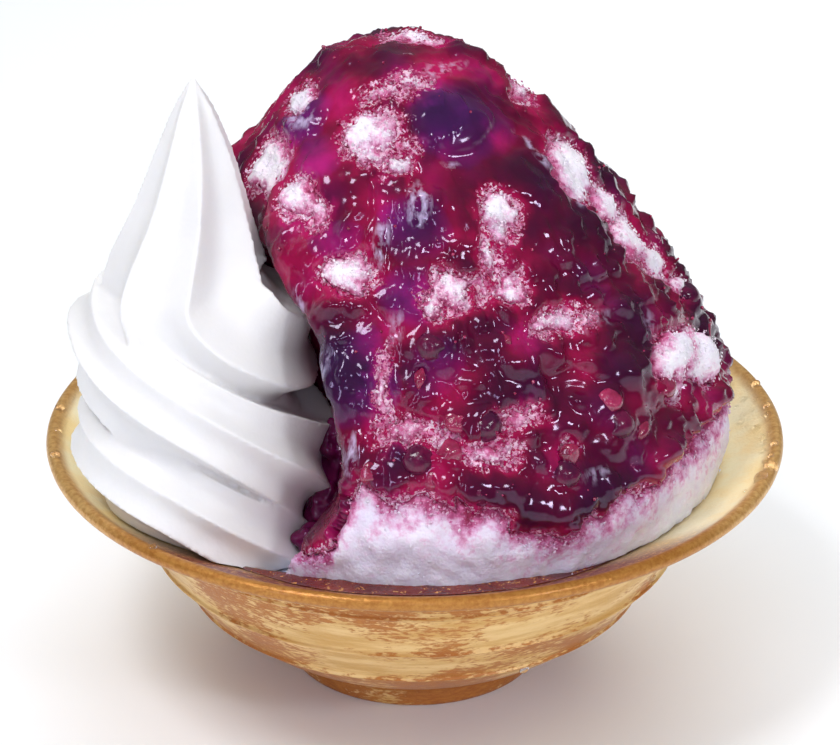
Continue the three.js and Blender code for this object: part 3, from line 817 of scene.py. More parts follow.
sauceLooks = {
    "lumps": 260, "lumpSize": (1.5, 3.4), "lumpStretch": (0.7, 1.35), "lumpRise": 0.45,
    "drips": 26, "dripWidth": (0.9, 1.7), "dripTop": (92, 140), "dripRun": (12, 30), "dripWander": 9,
    # size and height of the crushed fruit
    "crushed": [(6.2, 1.9), (3.2, 0.95)], "wrinkle": 0.55, "undulation": 0.8, "edgeWidth": 2.2,
    # size, seed, sharpness and height of the film's lines, then size, seed and span of their patches
    "filmAndSheen": [(8.0, 7.7, 12, 1.0, 16.0, 9.4, -0.2, 0.3), (4.4, 2.7, 10, 0.7, 10.0, 5.4, 0.0, 0.4)],
    # azimuth, height, half width, half height and rise of smooth swellings
    "swells": [(-63, 136.5, 9.5, 7.5, 2.6), (-67, 67.5, 8.0, 4.8, 2.6), (-104.5, 64.5, 3.6, 4.6, 1.6),
               (-150, 134, 6, 5, 1.8), (150, 143.5, 4, 3, 1.8), (-42, 125, 8, 6, 1.2), (-36, 111, 7, 6, 1.0),
               (5, 127, 7, 6, 1.2), (6, 111, 7, 7, 1.2), (10, 100.5, 2.6, 3, 2.4), (-101, 116, 3, 6, 1.5),
               (-110, 93, 2.6, 7, 1.6), (-103, 80.5, 2.2, 4.6, 1.4), (70, 100, 9, 7, 1.6),
               (130, 120, 8, 7, 1.6), (20, 112, 7, 8, 1.4), (170, 118, 8, 7, 1.4)],
    # azimuth, height, radius and share of the violet places, then of the dark ones
    "violet": [(-63, 136.5, 11, 1.0), (-150, 134, 8, 0.9), (-128, 129, 6, 0.6), (-89, 119, 8, 0.75),
               (-90, 108.5, 7, 0.6), (-104, 93, 10, 0.85), (-87, 95, 7, 0.55), (-112, 116, 5, 0.7),
               (-45, 134, 7, 0.4), (110, 110, 14, 0.7), (40, 120, 12, 0.5)],
    "dark": [(-63, 136.5, 11, 0.55), (-89, 118, 8, 0.4), (-104, 92, 9, 0.5), (-42, 125, 9, 0.5),
             (-36, 111, 11, 0.55), (-55, 111, 7, 0.45), (-38, 92, 13, 0.45), (-60, 95, 8, 0.45),
             (-72, 94, 7, 0.4), (-67, 68, 8, 0.5), (-83, 94, 7, 0.4), (-60, 85, 6, 0.3), (100, 120, 15, 0.4),
             (30, 90, 15, 0.4), (170, 90, 15, 0.4)],
    # azimuth, height, radius and share of the places under a frost of ice grains
    "frost": [(-95, 138.5, 6, 0.8), (-82, 142, 5, 0.8), (-20, 122, 9, 0.8), (-13, 108, 7, 0.8),
              (-7, 95, 6, 0.7), (-55, 100, 6, 0.7), (-45, 102, 4, 0.5), (-60, 90, 5, 0.5), (-71, 86, 7, 0.6),
              (-78, 81, 6, 0.6), (-94, 84, 6, 0.6), (-98, 92, 4, 0.5), (-64, 113, 4, 0.6), (-150, 128, 10, 0.5),
              (60, 144, 7, 0.7), (-68, 78, 4, 0.5), (-22, 88, 7, 0.5), (-50, 72, 5, 0.4), (36, 104, 10, 0.6),
              (110, 98, 10, 0.6), (160, 108, 10, 0.6), (0, 138, 9, 0.5), (170, 143, 7, 0.6), (6, 118, 9, 0.5),
              (2, 100, 8, 0.6), (-35, 86, 6, 0.4)],
    # thickness and colour, of the red sauce and the violet one
    "redTones": [(0.0, (0.42, 0.007, 0.09)), (0.25, (0.26, 0.003, 0.045)), (0.5, (0.125, 0.002, 0.026)),
                 (0.75, (0.070, 0.002, 0.022)), (1.0, (0.040, 0.002, 0.018))],
    "violetTones": [(0.0, (0.42, 0.015, 0.24)), (0.4, (0.15, 0.010, 0.14)), (0.75, (0.055, 0.007, 0.075)),
                    (1.0, (0.026, 0.006, 0.042))],
    # azimuth, height, half width, half height and share of the places with painted highlight streaks
    "paintedSheen": [(-151, 134, 4.6, 3.4, 0.8), (-100, 116.4, 2.4, 5.0, 0.8), (-87, 122.7, 2.6, 5.0, 0.8),
             (-110, 93.4, 2.4, 6, 0.8), (-103, 80.2, 1.8, 4.4, 0.7), (-72, 130, 3.0, 1.2, 0.5),
             (-31, 128, 2, 7, 0.6), (-27, 118, 2, 4, 0.5), (-50, 143, 8, 1.6, 0.6), (-120, 104, 2.2, 5, 0.6),
             (-95, 102, 2, 5, 0.5), (-45, 98, 5, 2, 0.4), (-30, 92, 2, 5, 0.4), (-58, 72, 5, 1.4, 0.4),
             (120, 120, 4, 8, 0.5), (60, 100, 3, 8, 0.5), (30, 120, 3, 8, 0.5)],
}


def lumpHeights(point):
    count = sauceLooks["lumps"]
    high = np.zeros(point.shape[:-1])
    bent = warped(point, 3.0, 1.3, 4.4)
    # most of them lie at the front, and low
    atFront = random.random(count) < 0.62
    azimuth = np.where(atFront, random.uniform(-108, 5, count), random.uniform(-180, 180, count))
    height = 62 + 70 * random.random(count) ** 1.9
    size = random.uniform(*sauceLooks["lumpSize"], count)
    stretch = random.uniform(*sauceLooks["lumpStretch"], (count, 3))
    middles, _ = placeAt(azimuth, height)
    for middle, radius, scale in zip(middles, size, stretch):
        near = np.abs(point[..., 2] - middle[2]) < radius * 2
        away = np.linalg.norm((bent[near] - middle) * scale, axis=-1) / radius
        rise = sauceLooks["lumpRise"] * radius * np.sqrt(np.clip(1 - away ** 2, 0, 1))
        high[near] = np.maximum(high[near], rise)
    return high


def dripHeights(point):
    high = np.zeros(point.shape[:-1])
    bent = warped(point, 5.0, 1.2, 6.1)
    steps = np.linspace(0, 1, 26)
    for _ in range(sauceLooks["drips"]):
        azimuth = random.uniform(-180, 180)
        start, run = random.uniform(*sauceLooks["dripTop"]), random.uniform(*sauceLooks["dripRun"])
        width = random.uniform(*sauceLooks["dripWidth"])
        wander = random.uniform(-sauceLooks["dripWander"], sauceLooks["dripWander"])
        path, _ = placeAt(azimuth + wander * steps + 2.5 * np.sin(steps * 7 + azimuth), start - run * steps)
        near = (point[..., 2] < start + 3) & (point[..., 2] > start - run - 4)
        gaps = np.linalg.norm(bent[near][:, None] - path[None], axis=-1)
        broad = width * (0.7 + 0.9 * ease(0.82, 1, steps[gaps.argmin(1)]))
        high[near] = np.maximum(high[near], 0.75 * broad * np.exp(-(gaps.min(1) / broad) ** 2))
    return high


# The most that any oval gives at each point, from rows of azimuth, height, one or two radii and amount
def ovalAmount(point, rows):
    most = np.zeros(point.shape[:-1])
    for azimuth, height, *radii, amount in rows:
        away = ovalDistance(point, azimuth, height, radii[0], radii[-1])
        most = np.maximum(most, amount * np.clip(1 - away ** 2, 0, 1) ** 0.6)
    return most


# Fine raised lines in the sauce's film
def filmLines(bent, point):
    high = np.zeros(point.shape[:-1])
    for size, seed, sharpness, height, patchSize, patchSeed, low, full in sauceLooks["filmAndSheen"]:
        lines = (1 - np.minimum(np.abs(cragNoise(bent, size, seed)), 1)) ** sharpness
        high = np.maximum(high, height * lines * ease(low, full, cragNoise(point, patchSize, patchSeed)))
    return high


# Thickness over the dome: crushed fruit low down, smooth swellings above, a collar round each berry
def sauceRelief(point):
    height = point[..., 2]
    azimuth = np.degrees(np.arctan2(point[..., 1], point[..., 0]))
    bent = warped(point, 7.0, 1.5, 1.3)
    swells = ovalAmount(warped(point, 6.0, 1.0, 3.8), sauceLooks["swells"])
    calm = ease(1.4, 0.4, swells)
    rightness = ease(-48, -30, azimuth) * ease(30, 10, azimuth)
    rough = ease(126, 94, height) * 0.8 + 0.45 * cragNoise(point, 20.0, 6.6) + 0.24
    rough = np.clip(rough + 0.4 * rightness + 0.5 * ease(137, 142, height), 0.1, 1) * calm
    crushed = sum(tall * np.sqrt(cragNoise(bent, size, 2.2 + size) ** 2 + 0.03)
                  for size, tall in sauceLooks["crushed"])
    crushed = crushed + rightness * 0.7 * cragNoise(point, 2.2, 8.8)
    relief = lumpHeights(point) * (0.25 + 0.75 * rough) + dripHeights(point) * (0.3 + 0.7 * calm)
    relief = relief + crushed * (0.2 + 0.9 * rough) + sauceLooks["undulation"] * cragNoise(point, 13.0, 5.5)
    relief = relief + sauceLooks["wrinkle"] * filmLines(bent, point) + swells
    for place in berries["places"] + berries["chunks"]:
        away = np.linalg.norm(bent - placeAt(*place[:2])[0], axis=-1) / (1.35 * place[2])
        relief = np.maximum(relief, 0.74 * place[2] * np.exp(-away ** 4))
    return relief


# What the sauce's material reads at each point
def sauceValues(point, relief):
    violet = ovalAmount(warped(point, 8.0, 2.4, 2.9), sauceLooks["violet"]) + 0.35 * cragNoise(point, 9.0, 1.9)
    dark = ovalAmount(warped(point, 8.0, 2.4, 4.9), sauceLooks["dark"])
    base = 0.38 + 0.08 * ease(116, 96, point[..., 2]) + 0.6 * cragNoise(warped(point, 6.0, 2.0, 0.7), 11.0, 3.1)
    thickness = (base + 0.5 * dark + 0.10 * np.clip(relief, 0, 2.5)) * (0.15 + 0.85 * ease(0, 3.2, inside))
    frost = ovalAmount(warped(point, 5.0, 1.8, 7.9), sauceLooks["frost"])
    # the last value is the share of the painted highlight streaks, which the material reads
    return {"thickness": thickness, "violet": violet, "edge": np.clip(inside / 3, 0, 1),
            "frost": frost * (0.65 + 0.6 * cragNoise(point, 3.0, 2.1)),
            "filmAndSheen": ovalAmount(warped(point, 6.0, 1.6, 3.9), sauceLooks["paintedSheen"])}


# Faces of a closed shell over the grid's kept places, and the fans that cap it at the peak
def shellFaces(keep):
    columns, count = keep.shape[1], keep.size
    quads, _ = ringFaces(*keep.shape, 0, 0)
    top = quads[keep.ravel()[quads].all(1)]
    edges = np.concatenate([top[:, [k, (k + 1) % 4]] for k in range(4)])
    order = np.sort(edges, 1).astype(np.int64)
    _, index, number = np.unique(order[:, 0] * count + order[:, 1], return_index=True, return_counts=True)
    rim = edges[index[number == 1]]
    rim = rim[~(rim < columns).all(1)]
    sides = np.stack([rim[:, 1], rim[:, 0], rim[:, 0] + count, rim[:, 1] + count], 1)
    around = np.arange(columns)
    capTop = np.stack([np.full(columns, 2 * count), around, (around + 1) % columns], 1)
    capUnder = np.stack([np.full(columns, 2 * count + 1), capTop[:, 2] + count, capTop[:, 1] + count], 1)
    return np.concatenate([top, top[:, ::-1] + count, sides]), np.concatenate([capTop, capUnder])


def makeSauce(material):
    relief = sauceRelief(smoothDome)
    wallRuns = 1.2 * np.abs(cragNoise(moundGrid * np.array([1, 1, 0.4]), 4.5, 3.3))
    relief = relief * (1 - 0.6 * onWall) + onWall * wallRuns
    width = sauceLooks["edgeWidth"]
    lip = 0.9 * np.sqrt(np.clip(1 - (1 - np.clip(inside / width, 0, 1)) ** 2, 0, 1))
    raised = lip * (0.25 + 0.9 * ease(80, 70, smoothDome[..., 2])) + relief * ease(0, width, inside)
    raised = raised - 0.5 + np.clip(inside, -3.0, 0)
    outer = moundGrid + moundNormals * raised[..., None]
    inner = moundGrid - moundNormals * (sauceBed["depth"] + 1.2 + np.clip(-inside, 0, 3) * 0.4)[..., None]
    middles = [outer[0].mean(0)], [inner[0].mean(0)]
    keep = inside > -1.6
    keep[0] = True
    faces, caps = shellFaces(keep)
    points = np.concatenate([outer.reshape(-1, 3), inner.reshape(-1, 3), *middles])
    used = np.unique(np.append(faces, caps))
    renumber = np.zeros(len(points), int)
    renumber[used] = np.arange(len(used))
    mesh = makeMesh("berrySauce", points[used], renumber[faces], renumber[caps])
    for name, values in sauceValues(smoothDome, relief).items():
        storeValue(mesh, name, np.concatenate([values.ravel(), values.ravel(), [values[0].mean()] * 2])[used])
    makePiece("berrySauce", mesh, material, ["berry_sauce"])
    return outer


def sauceMaterial():
    material, tree, shader = newMaterial("berrySauce", {
        "IOR": 1.4, "Specular Tint": (0.80, 0.68, 1.0, 1),
        "Coat Weight": 0.35, "Coat Roughness": 0.03, "Coat IOR": 1.4,
        "Subsurface Weight": 0.2, "Subsurface Radius": (1.0, 0.12, 0.22), "Subsurface Scale": 0.002})
    place = objectPlace(tree)
    cloud = mottleNode(tree, place, 110.0)
    speck = mottleNode(tree, place, 1100.0)
    depth = plus(tree, meshValue(tree, "thickness"), times(tree, plus(tree, cloud, -0.5), 0.22))
    red = rampNode(tree, depth, sauceLooks["redTones"])
    violet = rampNode(tree, depth, sauceLooks["violetTones"])
    color = mixColor(tree, meshValue(tree, "violet"), red, violet)
    # painted highlights: lavender sheen streaks painted into the colour, that run down the sauce
    stretched = objectPlace(tree, (1, 1, 0.3))
    streaks = addNode(tree, "ShaderNodeTexNoise", Vector=stretched, Scale=620.0, Detail=4.0)
    paintedSheen = times(tree, meshValue(tree, "filmAndSheen"), maskRamp(tree, streaks.outputs["Fac"], 0.45, 0.66))
    color = mixColor(tree, paintedSheen, color, (0.66, 0.58, 0.82))
    # grains of ice at the edges and under the frost
    thin = plus(tree, times(tree, meshValue(tree, "edge"), -2.4), times(tree, speck, 1.5))
    crust = plus(tree, times(tree, meshValue(tree, "frost"), 1.7), plus(tree, speck, -1.15))
    grains = maskRamp(tree, mathNode(tree, "MAXIMUM", thin, crust), 0.35, 0.75)
    crystal = mixColor(tree, mottleNode(tree, place, 400.0, 0.35, 0.65), (0.62, 0.16, 0.32), (0.86, 0.66, 0.78))
    feed(tree, shader, "Base Color", mixColor(tree, grains, color, crystal))
    gloss = greyRamp(tree, mottleNode(tree, place, 220.0, 0.35, 0.65), 0.06, 0.16)
    feed(tree, shader, "Roughness", mixColor(tree, grains, gloss, (0.4, 0.4, 0.4)))
    waves = addNode(tree, "ShaderNodeTexNoise", Vector=place, Scale=190.0, Detail=1.5, Roughness=0.45)
    bumpInto(tree, shader, waves.outputs["Fac"], 0.0010, 0.22)
    return material


# Runs of sauce that have gone down into the gap beside the swirl

runs = {
    # middle, radii and height of the lumps on them
    "places": [((-18.9, -37.5, 54.8), (4.8, 5.4, 5.6), 1.8), ((-22.2, -45.4, 51.8), (3.4, 3.8, 3.2), 1.2),
               ((-16.8, -31.5, 64.0), (3.8, 5.0, 9.5), 1.8)],
    "lumpSize": 2.6, "rows": 30, "columns": 48,
    "values": {"thickness": 0.55, "violet": 0.25, "edge": 1.0, "frost": 0.0, "filmAndSheen": 0.0},
}


def makeRuns(material):
    grids = []
    for middle, radii, rough in runs["places"]:
        ball = ballGrid(runs["rows"], runs["columns"])
        lumps = rough * cragNoise(ball * np.array(radii), runs["lumpSize"], middle[0])
        grids.append(closedGrid(ball * (np.array(radii) + lumps[..., None]) + np.array(middle)))
    mesh = joinedMesh("sauceRuns", grids)
    for name, value in runs["values"].items():
        storeValue(mesh, name, np.full(len(mesh.vertices), value))
    makePiece("sauceRuns", mesh, material)


def makeBerries(material):
    (width, depth), (rimPlace, rimWidth, rimRise) = berries["crown"], berries["crownRim"]
    for number, (azimuth, height, radius) in enumerate(berries["places"], 1):
        middle, normal = placeAt(azimuth, height)
        ball = ballGrid(berries["sides"] // 2, berries["sides"])
        uneven = 1 + berries["uneven"] * cragNoise(ball, 0.9, number * 3.7)
        # a dent with a raised rim, where the flower was
        crown = np.array([math.sin(number * 2.3), math.cos(number * 1.7), 0.6])
        crown /= np.linalg.norm(crown)
        away = np.arccos(np.clip(ball @ crown, -1, 1))
        dent = depth * np.exp(-(away / width) ** 2)
        uneven -= dent - rimRise * np.exp(-((away - rimPlace) / rimWidth) ** 2)
        grid = turnTo(ball * uneven[..., None] * radius * np.array([1, 1, 0.94]), normal)
        points, quads, fans = closedGrid(grid + middle - normal * berries["sunk"] * radius)
        mesh = makeMesh(f"berrySkin{number:02d}", points, quads, fans)
        makePiece(f"berrySkin{number:02d}", mesh, material, [f"berry_{number:02d}"])


# Torn pieces of fruit, each a ball cut by flat facets with rounded edges
def makeChunks(material):
    grids = []
    ball = ballGrid(13, 24)
    soft = berries["rounding"]
    for number, (azimuth, height, radius) in enumerate(berries["chunks"]):
        middle, normal = placeAt(azimuth, height)
        facets = random.normal(0, 1, (berries["facets"], 3))
        facets /= np.linalg.norm(facets, axis=1, keepdims=True)
        reach = random.uniform(*berries["facetReach"], berries["facets"])
        cut = reach / np.maximum(ball @ facets.T, 1e-3)
        size = -soft * np.log(np.exp(-np.minimum(cut, 1.1) / soft).sum(-1) + math.exp(-1.05 / soft))
        size = size * (1 + 0.16 * cragNoise(ball, 0.8, number * 2.9))
        shape = radius * random.uniform(*berries["chunkStretch"], 3) * np.array([1.1, 1.1, 0.8])
        grid = turnTo(ball * size[..., None] * shape, normal) + middle + normal * 0.12 * radius
        grids.append(closedGrid(grid))
    makePiece("fruitPieces", joinedMesh("fruitPieces", grids), material)


# Small round bubbles and seeds that stand out of the sauce, most of them near its edges
def makeBubbles(surface, material):
    allowed = (inside > 0.4) & (onWall < 0.5) & (smoothDome[..., 2] > 60)
    clumps = np.clip(0.25 + 1.6 * cragNoise(smoothDome, 6.0, 4.1), 0.05, 2)
    nearEdge = np.where(inside < 2.5, 2.0, 1.0)
    i, j = drawCells(surface, allowed, [clumps, nearEdge], berries["bubbles"])
    ballPoints, ballQuads, ballFans = closedGrid(ballGrid(4, 8))
    size = 0.12 + 0.3 * random.random(len(i)) ** 2.5
    middle = surface[i, j] + moundNormals[i, j] * size[:, None] * 0.3
    points = (middle[:, None] + ballPoints[None] * size[:, None, None]).reshape(-1, 3)
    first = np.arange(len(i))[:, None, None] * len(ballPoints)
    quads, fans = (ballQuads[None] + first).reshape(-1, 4), (ballFans[None] + first).reshape(-1, 3)
    makePiece("sauceBubbles", makeMesh("sauceBubbles", points, quads, fans), material)


# Fruit in two tones, whose roughness goes with its colour
def fruitMaterial(name, constants, scale, colors, gloss, relief):
    material, tree, shader = newMaterial(name, constants)
    tone = mottleNode(tree, objectPlace(tree), scale)
    feed(tree, shader, "Base Color", mixColor(tree, tone, *colors))
    feed(tree, shader, "Roughness", greyRamp(tree, tone, *gloss))
    bumpInto(tree, shader, tone, relief, 0.4)
    return material


def berryMaterial():
    return fruitMaterial("berrySkin", {"IOR": 1.38, "Coat Weight": 0.3, "Coat Roughness": 0.03}, 260.0,
                         [(0.045, 0.003, 0.026), (0.13, 0.004, 0.040)], (0.10, 0.24), 0.0003)


def chunkMaterial():
    return fruitMaterial("fruitFlesh", {"Subsurface Weight": 0.4, "Subsurface Radius": (1.0, 0.3, 0.35),
                                        "Subsurface Scale": 0.003, "Coat Weight": 0.8, "Coat Roughness": 0.04},
                         240.0, [(0.17, 0.004, 0.035), (0.36, 0.018, 0.09)], (0.12, 0.28), 0.0004)


saucePaint = sauceMaterial()
sauceSurface = makeSauce(saucePaint)
makeRuns(saucePaint)
print("sauce made")
makeBerries(berryMaterial())
makeChunks(chunkMaterial())
makeBubbles(sauceSurface, chunkMaterial())
print("berries made")


# Soft serve: a star-ridged rope that coils up and turns up into the peak

swirl = {
    "innerRidges": 4, "valleyDepth": 0.25, "valleyPower": 0.85, "usualAngle": 55, "steps": 16,
    "pieceTurn": 156, "pieceStep": 148, "turnStep": 4.0, "peakSteps": 130, "coreSides": 40,
    # sizes for joining and smoothing the rope, and heights over which the tip is kept from smoothing
    "voxel": 0.5, "smoothing": 2, "broadSmoothing": 40, "tipHeights": (126, 146),
    # creaseDepth: how deep a crease lies where its painted shade is full
    "creaseDepth": 2.2, "lowest": 46.6,
    # turned, reach, height, radius, and the angles above outward of the three outer ridges
    "coil": [(-20, 9, 31, 17, 20, -35, -80), (0, 9.5, 35.5, 17.2, 25, -28, -75), (60, 15, 51, 16.5, 45, 8, -30),
             (110, 15.8, 62.5, 15.3, 60, 26, -6), (180, 14.5, 68, 14.3, 76, 30, -4),
             (270, 13, 67, 15.5, 60, 10, -40), (360, 12.6, 62.8, 17.4, 29, -34, -80),
             (400, 14, 68, 17, 44, 0, -42), (450, 14.2, 78.5, 15.8, 60, 29, -5),
             (500, 14.4, 86.5, 15, 76, 46, 12), (540, 14.7, 90, 14.7, 92, 58, 24),
             (630, 11, 89.3, 15.6, 84, 42, -2), (720, 9.2, 88.6, 17, 78, 26, -27)],
    # step, x, y, height, radius, turned, tilt, and the same three angles
    "peak": [(0, 9.2, 0, 88.6, 17, 720, 0, 78, 26, -27), (1, 7.8, -3.6, 89.5, 17.5, 745, 10, 84, 32, -20),
             (2, 4.6, -6, 92.2, 18.2, 770, 30, 92, 42, -10), (3, 0.6, -5.6, 97, 18.8, 792, 56, 102, 54, -4),
             (4, -2.4, -3.4, 103, 18.5, 806, 78, 110, 62, 1), (5, -2.4, -1.6, 108.4, 17, 810, 88, 114, 66, 6),
             (6, -1, -0.4, 119.5, 12.6, 810, 90, 116, 68, 10), (7, -0.2, 0, 130.5, 8.8, 810, 90, 118, 68, 12),
             (8, 0, 0, 140.7, 4.6, 810, 90, 118, 68, 13), (9, 0, 0, 147.4, 0.6, 810, 90, 118, 68, 13)],
    # height and radius
    "core": [(40, 20), (60, 16), (80, 12), (100, 8), (108, 4)],
}
swirlFoot = np.array([*hollow["axis"], 0])
upAxis = np.array([0.0, 0, 1])


# Angles from outward and shares of the radius round each section, whose ridges are its sharp tips
def starPoints(outer):
    top, middle, low = outer.T
    innerAngle = (360 - top + low) / (swirl["innerRidges"] + 1)
    inner = [low - innerAngle * (k + 1) for k in range(swirl["innerRidges"])]
    ridges = np.stack([top, middle, low, *inner, top - 360], 1)[..., None]
    gap = ridges[:, :-1] - ridges[:, 1:]
    share = np.arange(swirl["steps"]) / swirl["steps"]
    valley = swirl["valleyDepth"] * np.sin(np.pi * share) ** swirl["valleyPower"] * gap / swirl["usualAngle"]
    angles = ridges[:, :-1] - gap * share
    return np.radians(angles.reshape(len(outer), -1)), 1 - valley.reshape(len(outer), -1)


def ropeTube(middles, outward, upward, radius, outer, reach=None):
    angle, share = starPoints(outer)
    size = radius[:, None] * share
    out, up = size * np.cos(angle), size * np.sin(angle)
    if reach is not None:
        out = np.maximum(out, 0.6 - reach[:, None])  # stays on its own side of the swirl's axis
    grid = middles[:, None] + out[..., None] * outward[:, None] + up[..., None] * upward[:, None]
    return closedGrid(grid + swirlFoot)


def coilTube(start, end):
    turned = np.arange(start, end + 0.1, swirl["turnStep"])
    reach, height, radius, *outer = smoothRows(swirl["coil"], turned).T
    outward = polarPoints(1.0, -np.radians(turned), 0.0)
    middles = outward * reach[:, None] + upAxis * height[:, None]
    return ropeTube(middles, outward, np.tile(upAxis, (len(turned), 1)), radius, np.stack(outer, 1), reach)


def peakTube():
    rows = smoothRows(swirl["peak"], np.linspace(0, swirl["peak"][-1][0], swirl["peakSteps"]))
    azimuth, tilt = -np.radians(rows[:, 4]), np.radians(rows[:, 5])
    outward = polarPoints(1.0, azimuth, 0.0)
    forward = np.stack([np.sin(azimuth), -np.cos(azimuth), 0 * azimuth], 1)
    upward = np.cos(tilt)[:, None] * upAxis - np.sin(tilt)[:, None] * forward
    return ropeTube(rows[:, :3], outward, upward, np.maximum(rows[:, 3], 0.4), rows[:, 6:])


def coreTube():
    rows = np.array(swirl["core"], float)
    angle = np.linspace(2 * np.pi, 0, swirl["coreSides"], endpoint=False)
    return closedGrid(polarPoints(rows[:, 1:], angle, rows[:, :1]) + swirlFoot)


# Smooths a mesh's points over its edges, less where hold is near 1
def smoothPoints(points, edges, rounds, hold=0.0):
    count = np.bincount(edges.ravel(), minlength=len(points))[:, None]
    pull = 0.5 * (1 - np.reshape(hold, (-1, 1)))
    for _ in range(rounds):
        total = np.zeros_like(points)
        for axis in range(3):
            total[:, axis] = (np.bincount(edges[:, 0], points[edges[:, 1], axis], len(points))
                              + np.bincount(edges[:, 1], points[edges[:, 0], axis], len(points)))
        points = points + (total / np.maximum(count, 1) - points) * pull
    return points


def readArray(rows, field, width, kind=float):
    values = np.zeros(len(rows) * width, kind)
    rows.foreach_get(field, values)
    return values.reshape(-1, width)


# Joins the rope's overlapping tubes into one skin
def joinedRope():
    first, last = swirl["coil"][0][0], swirl["coil"][-1][0]
    starts = range(first, last, swirl["pieceStep"])
    tubes = [coilTube(start, min(start + swirl["pieceTurn"], last)) for start in starts]
    rough = bpy.data.objects.new("swirlTubes", joinedMesh("swirlTubes", tubes + [peakTube(), coreTube()]))
    bpy.context.scene.collection.objects.link(rough)
    remesh = rough.modifiers.new("join", "REMESH")
    remesh.mode = "VOXEL"
    remesh.voxel_size = swirl["voxel"] * mm
    mesh = bpy.data.meshes.new_from_object(rough.evaluated_get(bpy.context.evaluated_depsgraph_get()))
    bpy.data.objects.remove(rough)
    return mesh


def makeSwirl(material):
    mesh = joinedRope()
    edges = readArray(mesh.edges, "vertices", 2, int)
    place = readArray(mesh.vertices, "co", 3) / mm
    place = smoothPoints(place, edges, swirl["smoothing"], ease(*swirl["tipHeights"], place[:, 2]))
    broad = smoothPoints(place, edges, swirl["broadSmoothing"])
    floor = np.maximum(swirl["lowest"], insideHeight(np.hypot(place[:, 0], place[:, 1])) + 0.4)
    place[:, 2] = np.clip(place[:, 2], floor, (cadBox[1][2] / mm) - 0.05)
    mesh.vertices.foreach_set("co", (place * mm).ravel())
    mesh.update()
    # painted shade: how deep each point lies in a crease, for darkening it in the colour
    paintedCreaseShade = ((broad - place) * readArray(mesh.vertices, "normal", 3)).sum(1)
    storeValue(mesh, "paintedCreaseShade", np.clip(paintedCreaseShade / swirl["creaseDepth"], -1, 1))
    mesh.name = "softServeRope"
    makePiece("softServeRope", mesh, material, ["soft_serve"])


def creamMaterial():
    material, tree, shader = newMaterial("softServe", {
        "Subsurface Weight": 0.3, "Subsurface Radius": (1.0, 0.9, 0.75), "Subsurface Scale": 0.004})
    place = objectPlace(tree)
    tone = mottleNode(tree, place, 70.0)
    plain = mixColor(tree, tone, (0.80, 0.797, 0.79), (0.83, 0.827, 0.82))
    # painted shade: the creases are painted darker and yellower
    deep = maskRamp(tree, meshValue(tree, "paintedCreaseShade"), 0.25, 0.8)
    feed(tree, shader, "Base Color", mixColor(tree, deep, plain, (0.74, 0.72, 0.62)))
    feed(tree, shader, "Roughness", greyRamp(tree, tone, 0.34, 0.46))
    bumpInto(tree, shader, crystalNode(tree, place, 1100.0, 0.4), 0.00008, 0.5)
    return material


makeSwirl(creamMaterial())
print("soft serve made")


# Melted syrup that lies at the front between the ice and the lip

puddle = {
    # heights of its surface at its ends and in its middle
    "shallow": 49.5, "deep": 52.5, "waves": 0.12, "steps": 180, "across": 9, "inner": 65.0, "skin": 0.08,
    # azimuths at which it starts, is full, begins to end and ends
    "span": (-132, -102, -76, -36),
}


def makePuddle(material):
    start, full, ending, end = puddle["span"]
    count = puddle["across"]
    azimuth = np.linspace(start, end, puddle["steps"])
    share = ease(start, full, azimuth) * ease(end, ending, azimuth)
    level = puddle["shallow"] + (puddle["deep"] - puddle["shallow"]) * share
    level = level + puddle["waves"] * noiseAt(np.stack([azimuth, 0 * azimuth, 0 * azimuth], 1), 9.0, 5.7)
    across = np.append(np.linspace(0, 1, count), np.linspace(1, 0, count)[1:-1])
    radius = puddle["inner"] + (insideRadius(level) - puddle["inner"])[:, None] * across
    ground = insideHeight(radius)
    top = level[:, None] - 0.25 * across[:count] ** 8
    top = np.maximum(top, ground[:, :count] + 2 * puddle["skin"])
    height = np.concatenate([top, ground[:, count:] + puddle["skin"]], 1)
    points, quads, fans = closedGrid(polarPoints(radius, np.radians(azimuth)[:, None], height))
    mesh = makeMesh("meltedSyrup", points, quads[:, ::-1], fans[:, ::-1])
    makePiece("meltedSyrup", mesh, material)


def syrupMaterial():
    material, tree, shader = newMaterial("meltedSyrup", {"Coat Weight": 0.4, "Coat Roughness": 0.06})
    place = objectPlace(tree)
    cloud = mottleNode(tree, place, 120.0)
    # painted highlights: small gold dots painted in as glints on the syrup
    paintedGlints = maskRamp(tree, mottleNode(tree, place, 1000.0), 0.86, 0.96)
    stain = mixColor(tree, cloud, (0.075, 0.004, 0.004), (0.20, 0.022, 0.008))
    feed(tree, shader, "Base Color", mixColor(tree, paintedGlints, stain, (0.62, 0.30, 0.08)))
    feed(tree, shader, "Roughness", greyRamp(tree, cloud, 0.14, 0.3))
    bumpInto(tree, shader, cloud, 0.0003, 0.5)
    return material


makePuddle(syrupMaterial())
print("melted syrup made")


# Drops of water on the lip, the inside of the rim and the body

